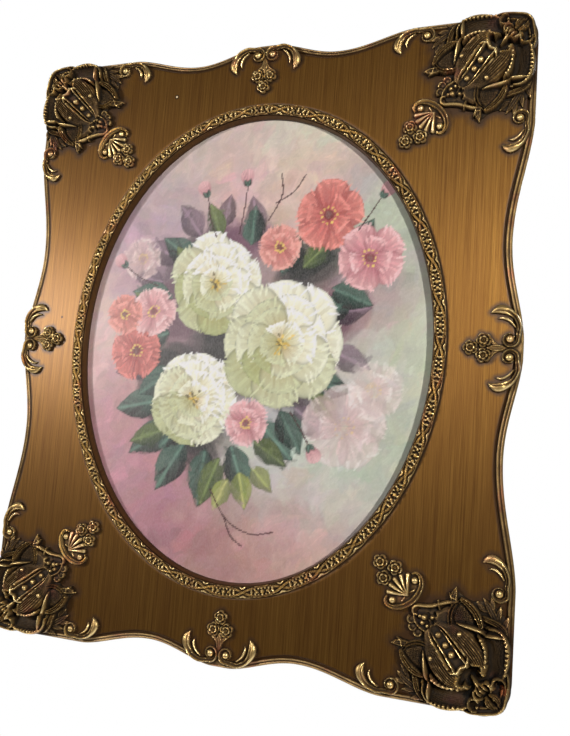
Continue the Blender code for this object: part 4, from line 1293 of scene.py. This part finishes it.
# %% Shadows and leaves
DARK_GREEN, GREEN, OLIVE = paint(26, 38, 38), paint(80, 108, 96), paint(108, 122, 74)
MAUVE, DEEP_MAUVE, LIME = paint(130, 108, 124), paint(62, 48, 62), paint(158, 166, 92)
SHADOWS = [  # right, up, half length, half width, turn, colour
    (-70, 96, 60, 34, 0.7, DEEP_MAUVE), (-20, 112, 50, 28, 0.2, paint(120, 84, 104)),
    (-96, -40, 44, 56, 0.1, DARK_GREEN), (-60, -104, 62, 30, -0.4, DARK_GREEN),
    (92, 30, 44, 30, 0.4, paint(112, 76, 92)), (52, -48, 50, 30, -0.5, DEEP_MAUVE),
    (70, 84, 50, 26, 0.5, DARK_GREEN), (-96, 40, 40, 40, 0.0, paint(112, 84, 96)),
    (0, 0, 70, 60, 0.0, DARK_GREEN)]
for x, z, long, wide, turn, colour in SHADOWS:
    for layer in range(5):
        dx, dz = scumble.normal(0, 7, 2)
        less = 1 - 0.1 * layer
        canvas.dab(x + dx, z + dz, long * less, wide * less, turn + scumble.normal(0, 0.2),
                   colour * (1.15 - 0.08 * layer), 0.42, 0.06)
leaf_group([(-66, 122, 50, 17, 128), (-88, 96, 54, 18, 158), (4, 124, 46, 15, 104), (88, 34, 52, 17, 8),
            (96, -4, 50, 17, -24), (-112, -22, 54, 18, 196), (-40, 132, 40, 14, 80), (60, -66, 50, 17, -40),
            (-110, 70, 42, 15, 168)], DEEP_MAUVE, MAUVE, 0.8)
leaf_group([(-84, -92, 64, 21, 214), (-66, -110, 66, 21, 240), (-40, -116, 66, 20, 266),
            (-102, -66, 58, 20, 192), (-10, -110, 60, 19, 292), (22, -84, 58, 19, 316),
            (66, -36, 58, 19, -12), (74, 26, 56, 18, 30), (34, 78, 52, 17, 66), (-4, 110, 48, 17, 88),
            (-70, 92, 56, 18, 146), (-98, 52, 54, 18, 172), (-96, 12, 48, 17, 200),
            (92, 62, 52, 17, -22), (112, 100, 44, 15, 58), (-86, -30, 56, 19, 214),
            (-58, -78, 60, 20, 226), (44, -70, 54, 18, 300)], DARK_GREEN, GREEN)
leaf_group([(-112, 38, 42, 13, 150), (-42, 120, 46, 14, 112), (58, 84, 44, 14, 44), (78, -50, 46, 14, -46),
            (-22, -124, 60, 16, 250), (-92, -98, 48, 15, 200), (-74, 76, 44, 14, 122),
            (16, -104, 48, 15, 328)], paint(70, 84, 60), OLIVE)
leaf_group([(2, -138, 42, 15, 284), (16, -132, 36, 13, 316), (-10, -146, 40, 13, 246)],
           paint(116, 126, 76), LIME, 0.85)
print("shadows", len(SHADOWS), "and leaves painted")

# %% Pale flowers in the distance, then the bouquet
blossom(116, -84, 44, paint(212, 176, 178), paint(232, 208, 206), paint(214, 180, 164), 20, 0.5)
blossom(146, -46, 30, paint(216, 184, 184), paint(230, 212, 208), paint(214, 184, 170), 50, 0.4)
blossom(-140, 98, 24, paint(204, 164, 166), paint(224, 198, 194), paint(196, 160, 140), 10, 0.5)
rework(2400, 8.0, 2.6, 0.5, 0.05)
bloom(-44, 68, 56, 0.2)
bloom(-60, -62, 55, 0.5)
bloom(40, 2, 68, 0.0)
blossom(84, 142, 38, paint(188, 84, 88), paint(222, 138, 128), paint(116, 58, 58), 12)
blossom(132, 94, 36, paint(196, 106, 124), paint(230, 176, 178), paint(136, 74, 78), 40)
blossom(30, 108, 25, paint(198, 106, 106), paint(228, 158, 148), paint(126, 68, 62), 66)
blossom(-138, -10, 32, paint(178, 82, 82), paint(210, 124, 116), paint(108, 58, 54), 30)
blossom(-120, 36, 28, paint(198, 120, 130), paint(228, 180, 180), paint(136, 78, 78), 4)
blossom(-158, 32, 23, paint(188, 96, 92), paint(216, 142, 130), paint(116, 64, 58), 80)
blossom(6, -86, 25, paint(196, 114, 124), paint(230, 178, 180), paint(136, 78, 78), 50)
print("flowers painted")

# %% Buds and twigs
BUD_ROOT, BUD_TIP = paint(178, 104, 116), paint(226, 182, 184)
for x, z, turn in ((-62, 168, 118), (-14, 178, 96), (140, 158, 52), (-160, 88, 140), (78, -104, -58)):
    canvas.petal(x, z, 21, 10, math.radians(turn), BUD_ROOT, BUD_TIP, 0.9, 0.22, 0.2)
    canvas.leaf(x, z, 11, 4, math.radians(turn + 24), DARK_GREEN, GREEN)
    canvas.leaf(x, z, 11, 4, math.radians(turn - 24), DARK_GREEN, GREEN)
TWIGS = [[(-48, 122), (-58, 146), (-62, 168)], [(-20, 124), (-16, 152), (-14, 178)],
         [(118, 124), (130, 142), (140, 158)], [(-118, 66), (-142, 76), (-160, 88)],
         [(56, -72), (68, -88), (78, -104)], [(-30, -160), (-8, -190), (20, -202), (46, -198)],
         [(-12, -186), (-2, -206), (12, -216)], [(14, 138), (28, 166), (26, 192)],
         [(22, 158), (42, 170), (54, 188)]]
for path in TWIGS:
    canvas.line(path, 1.0, paint(74, 42, 46))
print("bouquet painted")

# %% [markdown]
# ### Board under the paint
# The canvas becomes the front of the board by the same cut as the castings: grid points inside
# the oval are kept and the edge ones moved onto it. A last glaze deepens the darks and lifts
# the lights a little. The paint's body is at most 0.3 mm and fades out where the sight edge
# covers the board. The back is bare board.

# %% Painted board
BOARD_BACK, BOARD_THICK = 17.5, 4.0  # the back's depth in front of the wall, and the thickness
canvas.colour = np.clip(canvas.colour * 1.10 - 0.018, 0.006, 0.93)
edge_gap = 1 - np.hypot(canvas.X / BOARD[0], canvas.Z / BOARD[1])
low = float(canvas.X[0, 0]), float(canvas.Z[0, 0])
sheet = Relief(low, (float(canvas.X[-1, 0]), float(canvas.Z[0, -1])), canvas.step)
sheet.S, sheet.T = canvas.X, canvas.Z
sheet.reach = edge_gap * BOARD.min()
weave = 0.02 * np.sin(2.3 * canvas.X) * np.sin(2.3 * canvas.Z)
body = np.clip(soften(canvas.body, 1) + weave, 0, 0.28)
sheet.height = BOARD_THICK + body * np.clip(edge_gap * 22 - 0.4, 0, 1)
shown = [canvas.colour[..., k] for k in range(3)]
points, faces, read = cut_out(sheet, [*shown, canvas.body])
tint = np.clip(np.stack(read[:3], 1), 0.004, 0.95)
bare = points[:, 2] < 0.5
thick = np.where(points[:, 2] < BOARD_THICK - 0.1, BOARD_THICK, points[:, 2])
thick = np.where(bare, 0.0, thick)
points = np.stack([points[:, 0], BOARD_BACK + thick, points[:, 1]], 1)
board = solid("painted_board", points, faces, {"picture": tint, "bare": bare.astype(float)}, 60.0)
print("painted board", triangles(board), "triangles")

# %% [markdown]
# ## Finishes
# Three finishes cover the object: stained wood, antique gilt and oil paint. What is shared or
# worth a name of its own is kept in two node groups: combed grain and rubbed gilding. The
# finishes read each piece's own coordinates and the values stored on its mesh, so they stay
# with the piece wherever it goes.


# %% Words for building a finish
def group(name, takes, gives):
    """A named shader group with its own sockets."""
    tree = bpy.data.node_groups.new(name, "ShaderNodeTree")
    for way, sockets in (("INPUT", takes), ("OUTPUT", gives)):
        for label, kind in sockets:
            tree.interface.new_socket(label, in_out=way, socket_type=f"NodeSocket{kind}")
    return tree, net(tree), tree.nodes.new("NodeGroupInput").outputs, tree.nodes.new("NodeGroupOutput")


def noise(add, place, stretch, detail=2.0, rough=0.5, twist=0.0):
    """Noise whose cells are 1/stretch metres along each axis."""
    turned = add("ShaderNodeVectorMath", {0: place, 1: stretch}, operation="MULTIPLY")
    links = {"Vector": turned.outputs[0], "Scale": 1.0, "Detail": detail, "Roughness": rough,
             "Distortion": twist}
    return add("ShaderNodeTexNoise", links).outputs["Fac"]


def between(add, value, low, high, first=0.0, last=1.0):
    """Turns the range from low to high into the range from first to last."""
    links = {"Value": value, "From Min": low, "From Max": high, "To Min": first, "To Max": last}
    return add("ShaderNodeMapRange", links, clamp=True).outputs[0]


def mixed(add, share, a, b):
    return add("ShaderNodeMix", {0: share, 6: a, 7: b}, data_type="RGBA").outputs[2]


def ramp(add, value, stops):
    made = add("ShaderNodeValToRGB", {0: value})
    bar = made.color_ramp
    while len(bar.elements) < len(stops):
        bar.elements.new(0.5)
    for element, (place, colour) in zip(bar.elements, stops):
        element.position, element.color = place, (*colour, 1.0)
    return made.outputs[0]


def strewn(add, value, share):
    """Noise moved to lie round 0, at this share of its strength."""
    return sums(add, "MULTIPLY", sums(add, "SUBTRACT", value, 0.5), share)


print("words for finishes: group, noise, between, mixed, ramp, strewn")

# %% [markdown]
# ### Combed grain
# The face is painted wood: a warm ground under a brown glaze that was combed while wet, so
# fine streaks run up the whole frame, over the top and bottom rails too. Long thin noise gives
# the streaks, a broader one gathers them into lighter and darker bands.

# %% Group: combed grain
tree, add, given, result = group(
    "combed_grain", [("Place", "Vector")], [("Streak", "Float"), ("Band", "Float")])
fine = noise(add, given["Place"], (2300.0, 300.0, 22.0), 3.0, 0.6)
coarse = noise(add, given["Place"], (900.0, 120.0, 9.0), 3.0, 0.6, 0.15)
streak = sums(add, "ADD", sums(add, "MULTIPLY", fine, 0.5), sums(add, "MULTIPLY", coarse, 0.5))
tree.links.new(between(add, streak, 0.34, 0.66), result.inputs["Streak"])
band = noise(add, given["Place"], (34.0, 20.0, 5.0), 2.0, 0.5, 0.4)
tree.links.new(between(add, band, 0.32, 0.68), result.inputs["Band"])
GRAIN = tree
print("grain group", len(tree.nodes), "nodes")

# %% [markdown]
# ### Rubbed gilding
# The castings were coated with umber and then rubbed with a brass-coloured gilding, which
# stays where a cloth can reach: ridges, balls and lips. The crest value stored on each mesh
# says how high a place stands above what is round it. A little noise breaks the edge of the
# gilding, and some places show a redder copper tone.

# %% Group: rubbed gilding
tree, add, given, result = group(
    "rubbed_gilding", [("Place", "Vector"), ("Crest", "Float")],
    [("Colour", "Color"), ("Metal", "Float"), ("Rough", "Float"), ("Relief", "Float")])
grit = noise(add, given["Place"], (1500.0, 1500.0, 1500.0), 3.0, 0.65)
patch = noise(add, given["Place"], (60.0, 60.0, 60.0), 3.0, 0.6)
worn = sums(add, "ADD", given["Crest"], strewn(add, grit, 0.5))
worn = sums(add, "ADD", worn, strewn(add, patch, 0.35))
brass = ramp(add, worn, [(0.16, (0.018, 0.011, 0.005)), (0.42, (0.072, 0.043, 0.018)),
                         (0.60, (0.19, 0.115, 0.046)), (0.78, (0.48, 0.33, 0.13)),
                         (1.0, (0.80, 0.62, 0.30))])
copper = ramp(add, worn, [(0.16, (0.020, 0.011, 0.009)), (0.42, (0.090, 0.038, 0.023)),
                          (0.60, (0.22, 0.090, 0.045)), (0.78, (0.46, 0.22, 0.11)),
                          (1.0, (0.76, 0.48, 0.26))])
red = noise(add, given["Place"], (38.0, 38.0, 38.0), 2.0, 0.5)
tree.links.new(mixed(add, between(add, red, 0.56, 0.72), brass, copper), result.inputs["Colour"])
tree.links.new(between(add, worn, 0.2, 0.75, 0.0, 0.85), result.inputs["Metal"])
tree.links.new(between(add, worn, 0.25, 0.85, 0.7, 0.34), result.inputs["Rough"])
tree.links.new(grit, result.inputs["Relief"])
GILDING = tree
print("gilding group", len(tree.nodes), "nodes")

# %% [markdown]
# ### Gilt castings
# One material serves all the castings and the braid, because they were gilded together. A
# chip on one corner shows red clay: a ragged spot that takes the metal away.


# %% Material: antique gilt
def material(name):
    made = bpy.data.materials.new(name)
    made.use_nodes = True
    shader = made.node_tree.nodes["Principled BSDF"]
    return made, made.node_tree, net(made.node_tree), shader


def stored(add, name):
    return add("ShaderNodeAttribute", attribute_name=name, attribute_type="GEOMETRY").outputs


def spot_at(add, place, centre, radius, soft=0.3):
    """1 within radius of a point, fading out over the soft share of it."""
    far = add("ShaderNodeVectorMath", {0: place, 1: centre}, operation="DISTANCE").outputs["Value"]
    return between(add, far, radius * (1 - soft), radius, 1.0, 0.0)


CLAY = (0.36, 0.125, 0.050, 1.0)
CHIP_PLACE, CHIP_RADIUS = (0.2866, -0.034, -0.609), 0.0052
GILT, tree, add, shader = material("antique_gilt")
place = add("ShaderNodeTexCoord").outputs["Object"]
rubbed = add("ShaderNodeGroup", node_tree=GILDING)
tree.links.new(place, rubbed.inputs["Place"])
tree.links.new(stored(add, "crest")["Fac"], rubbed.inputs["Crest"])
shaken = add("ShaderNodeTexNoise", {"Vector": place, "Scale": 400.0}).outputs["Color"]
ragged = add("ShaderNodeMix", {0: 0.004, 4: place, 5: shaken}, data_type="VECTOR").outputs[1]
chip = spot_at(add, ragged, CHIP_PLACE, CHIP_RADIUS, 0.15)
bare_clay = mixed(add, chip, rubbed.outputs["Colour"], CLAY)
tree.links.new(bare_clay, shader.inputs["Base Color"])
whole = sums(add, "SUBTRACT", 1.0, chip)
tree.links.new(sums(add, "MULTIPLY", rubbed.outputs["Metal"], whole), shader.inputs["Metallic"])
tree.links.new(sums(add, "MAXIMUM", rubbed.outputs["Rough"], chip), shader.inputs["Roughness"])
shader.inputs["Specular IOR Level"].default_value = 0.15
bump = add("ShaderNodeBump", {"Strength": 0.35, "Distance": 0.0004, "Height": rubbed.outputs["Relief"]})
tree.links.new(bump.outputs[0], shader.inputs["Normal"])
print("gilt ready")

# %% [markdown]
# ### Stained frame
# Grain first, then the dark glaze that was left in the grooves, which also carries painted
# shade round the castings and beside the braid and the rim bead, then gilding on the rim beads,
# with painted shade near the corners. The glaze is a little metallic, and combing makes its
# sheen stretch across the streaks. A pale dot and a dark speck, each in a dark brown ring, are
# kept on the face. The back was never grained: it is plain darker wood.

# %% Material: stained wood
PALE_SPECK, DARK_SPECK = (-0.1103, -0.030, -0.0112), (-0.2391, -0.030, -0.2733)
BAND_BROWN, DARK_GLAZE_AND_SHADE = (0.13, 0.056, 0.012, 1.0), (0.052, 0.023, 0.007, 1.0)
RING_BROWN, PALE_DOT = (0.030, 0.013, 0.006, 1.0), (1.0, 0.82, 0.50, 1.0)
WOOD, tree, add, shader = material("stained_wood")
place = add("ShaderNodeTexCoord").outputs["Object"]
grain = add("ShaderNodeGroup", node_tree=GRAIN)
tree.links.new(place, grain.inputs["Place"])
warm = ramp(add, grain.outputs["Streak"], [(0.0, (0.078, 0.031, 0.005)), (0.45, (0.138, 0.063, 0.010)),
                                           (1.0, (0.205, 0.105, 0.020))])
warm = mixed(add, between(add, grain.outputs["Band"], 0.0, 1.0, 0.3, 0.0), warm, BAND_BROWN)
mottle = noise(add, place, (230.0, 230.0, 150.0), 3.0, 0.6)
cover = sums(add, "ADD", stored(add, "glaze_and_shade")["Fac"], strewn(add, mottle, 0.45))
# dark glaze in the grooves, and painted shade round the castings and beside the braid and rim bead
dark = mixed(add, between(add, cover, 0.28, 0.85, 0.0, 0.93), warm, DARK_GLAZE_AND_SHADE)
for centre, radius in ((PALE_SPECK, 0.0034), (DARK_SPECK, 0.0019)):
    dark = mixed(add, spot_at(add, place, centre, radius, 0.5), dark, RING_BROWN)
# a pale dot inside the dark brown ring of the pale speck
dark = mixed(add, spot_at(add, place, PALE_SPECK, 0.0015), dark, PALE_DOT)
rim = add("ShaderNodeGroup", node_tree=GILDING)
tree.links.new(place, rim.inputs["Place"])
# the gild value holds the gilding and, near the corners, painted shade
gilded = stored(add, "gild")["Fac"]
tree.links.new(sums(add, "MULTIPLY", gilded, 0.68), rim.inputs["Crest"])
shown = between(add, gilded, 0.15, 0.5)
front = mixed(add, shown, dark, rim.outputs["Colour"])
plain = noise(add, place, (160.0, 60.0, 9.0), 3.0, 0.6)
rear = ramp(add, plain, [(0.3, (0.085, 0.046, 0.020)), (0.7, (0.19, 0.112, 0.052))])
is_back = between(add, stored(add, "back")["Fac"], 0.3, 0.9)
tree.links.new(mixed(add, is_back, front, rear), shader.inputs["Base Color"])
satin = sums(add, "MULTIPLY", between(add, cover, 0.28, 0.85, 0.74, 0.25), between(add, is_back, 0, 1, 1, 0))
metal = sums(add, "MAXIMUM", sums(add, "MULTIPLY", rim.outputs["Metal"], shown), satin)
tree.links.new(metal, shader.inputs["Metallic"])
for name, value in (("Roughness", 0.48), ("Anisotropic", 0.6), ("Coat Weight", 0.10),
                    ("Specular IOR Level", 0.3), ("Coat Roughness", 0.3)):
    shader.inputs[name].default_value = value
bump = add("ShaderNodeBump", {"Strength": 0.3, "Distance": 0.0003, "Height": grain.outputs["Streak"]})
tree.links.new(bump.outputs[0], shader.inputs["Normal"])
print("stained wood ready")

# %% [markdown]
# ### Oil paint and bare board
# The picture's colours are stored on its points. A fine streaked noise stands for bristle
# marks that are too small for the mesh. The bare flag turns the back into raw board.

# %% Material: painted board
OIL, tree, add, shader = material("painted_board")
place = add("ShaderNodeTexCoord").outputs["Object"]
bristle = noise(add, place, (900.0, 900.0, 420.0), 3.0, 0.6, 0.6)
flecks = noise(add, place, (2400.0, 2400.0, 2400.0), 2.0, 0.5)
picture = stored(add, "picture")["Color"]
lively = mixed(add, between(add, bristle, 0.4, 0.65, 0.0, 0.06), picture, (0.95, 0.93, 0.9, 1.0))
fibre = noise(add, place, (90.0, 90.0, 14.0), 3.0, 0.6)
raw = ramp(add, fibre, [(0.3, (0.24, 0.155, 0.085)), (0.7, (0.36, 0.25, 0.145))])
is_bare = between(add, stored(add, "bare")["Fac"], 0.3, 0.9)
tree.links.new(mixed(add, is_bare, lively, raw), shader.inputs["Base Color"])
tree.links.new(between(add, is_bare, 0.0, 1.0, 0.48, 0.85), shader.inputs["Roughness"])
for name, value in (("Coat Weight", 0.07), ("Specular IOR Level", 0.3), ("Coat Roughness", 0.36)):
    shader.inputs[name].default_value = value
height = sums(add, "ADD", bristle, sums(add, "MULTIPLY", flecks, 0.3))
bump = add("ShaderNodeBump", {"Strength": 0.3, "Distance": 0.0003, "Height": height})
tree.links.new(bump.outputs[0], shader.inputs["Normal"])
print("oil paint ready")

# %% [markdown]
# ## Putting it together
# Each piece takes its finish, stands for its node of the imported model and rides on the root,
# because nothing on a hung picture moves.

# %% Pieces take their places
braid = bend_braid(GILT)
everything = [(moulding, "frame", WOOD, "stained_wood"), (braid, "oval_braid", GILT, "antique_gilt"),
              (board, "painted_panel", OIL, "painted_board")]
everything += [(made, node, GILT, "antique_gilt") for made, node in castings]
for made, node, finish, slot in everything:
    made.data.materials.clear()
    made.data.materials.append(finish)
    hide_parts(node)
    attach(made, "root")
    if triangles(made) > 20000:
        print(made.name, triangles(made), "triangles")
print("in all", sum(triangles(made) for made, _, _, _ in everything), "triangles")

# %% [markdown]
# ## Studio
# A pale floor lies well below the hung frame, in a white surround. One lamp each side gives
# nothing but the satin sheen on the rails, and one each side gives nothing but plain light and
# shade: the key at the right throws the frame's shade on the painting, and the fill at the left
# softens it. Splitting them lets the sheen move without moving the shade. Another lamp lights
# the back, and a broad one hangs low over the floor alone.


# %% Floor, lights and surround
def lamp(name, place, aim, power, size, colour=(1.0, 1.0, 1.0)):
    data = bpy.data.lights.new(name, "AREA")
    data.energy, data.size, data.color = power, size, colour
    made = bpy.data.objects.new(name, data)
    made.location = place
    made.rotation_euler = (Vector(aim) - Vector(place)).to_track_quat("-Z", "Y").to_euler()
    bpy.context.scene.collection.objects.link(made)
    return made


FLOOR = -1.75  # metres, in height
PAINTING = (0, 0, -HANG * MM)
floor_mesh = bpy.data.meshes.new("floor")
corners = [(x, y, FLOOR) for x, y in ((-2, -2), (2, -2), (2, 2), (-2, 2))]
floor_mesh.from_pydata(corners, [], [(0, 1, 2, 3)])
floor = bpy.data.objects.new("floor", floor_mesh)
bpy.context.scene.collection.objects.link(floor)
pale, tree, add, shader = material("pale_floor")
shader.inputs["Base Color"].default_value = (0.86, 0.86, 0.86, 1.0)
shader.inputs["Roughness"].default_value = 0.9
floor_mesh.materials.append(pale)
lamps = [lamp("sheen_right", (0.75, -1.2, 0.06), PAINTING, 19, 0.2, (1.0, 0.96, 0.88)),
         lamp("sheen_left", (-1.12, -1.12, -0.08), PAINTING, 21, 0.24, (1.0, 0.95, 0.92)),
         lamp("key", (1.50, -1.5, -0.1), PAINTING, 31, 0.1, (1.0, 0.97, 0.93)),
         lamp("fill", (-1.62, -1.5, 0.1), PAINTING, 21, 0.1, (1.0, 0.95, 0.95)),
         lamp("rear", (0.5, 1.8, 0.3), PAINTING, 42, 0.9),
         lamp("floor_lamp", (0, 0, FLOOR + 0.5), (0, 0, FLOOR), 22, 3.4)]
for sheen, soft in zip(lamps[:2], lamps[2:4]):
    sheen.visible_diffuse = False
    soft.visible_glossy = False
for hidden in lamps[4:]:
    hidden.visible_camera = False
floor.visible_diffuse = False
world = bpy.data.worlds.new("surround")
world.use_nodes = True
sky, tree = world.node_tree.nodes["Background"], world.node_tree
sky.inputs["Color"].default_value = (1.0, 1.0, 1.0, 1.0)
seen = net(tree)("ShaderNodeLightPath").outputs["Is Camera Ray"]
tree.links.new(between(net(tree), seen, 0.0, 1.0, 0.07, 1.0), sky.inputs["Strength"])
bpy.context.scene.world = world
bpy.context.scene.view_settings.view_transform = "Standard"
print("lamps", len(lamps), "and a white surround")

# %% [markdown]
# ## Camera
# The place, lens and turn come from a camera fitted to the photograph through the frame's
# mirrored corners: it stood low and to the right, a little over 80 cm away.

# %% Camera at the photo's angle
camera_data = bpy.data.cameras.new("camera")
camera_data.lens, camera_data.sensor_width = 39.18, 36.0
camera_data.clip_start, camera_data.clip_end = 0.02, 50.0
camera = bpy.data.objects.new("camera", camera_data)
turn = Matrix(((0.933256, -0.030470, 0.357919), (0.351652, -0.125866, -0.927631),
               (0.073315, 0.991579, -0.106751)))
camera.matrix_world = Matrix.Translation((0.35223, -0.81420, -0.41594)) @ turn.to_4x4()
bpy.context.scene.collection.objects.link(camera)
bpy.context.scene.camera = camera
print("camera is", round((camera.location - Vector(PAINTING)).length, 2), "m from the painting")
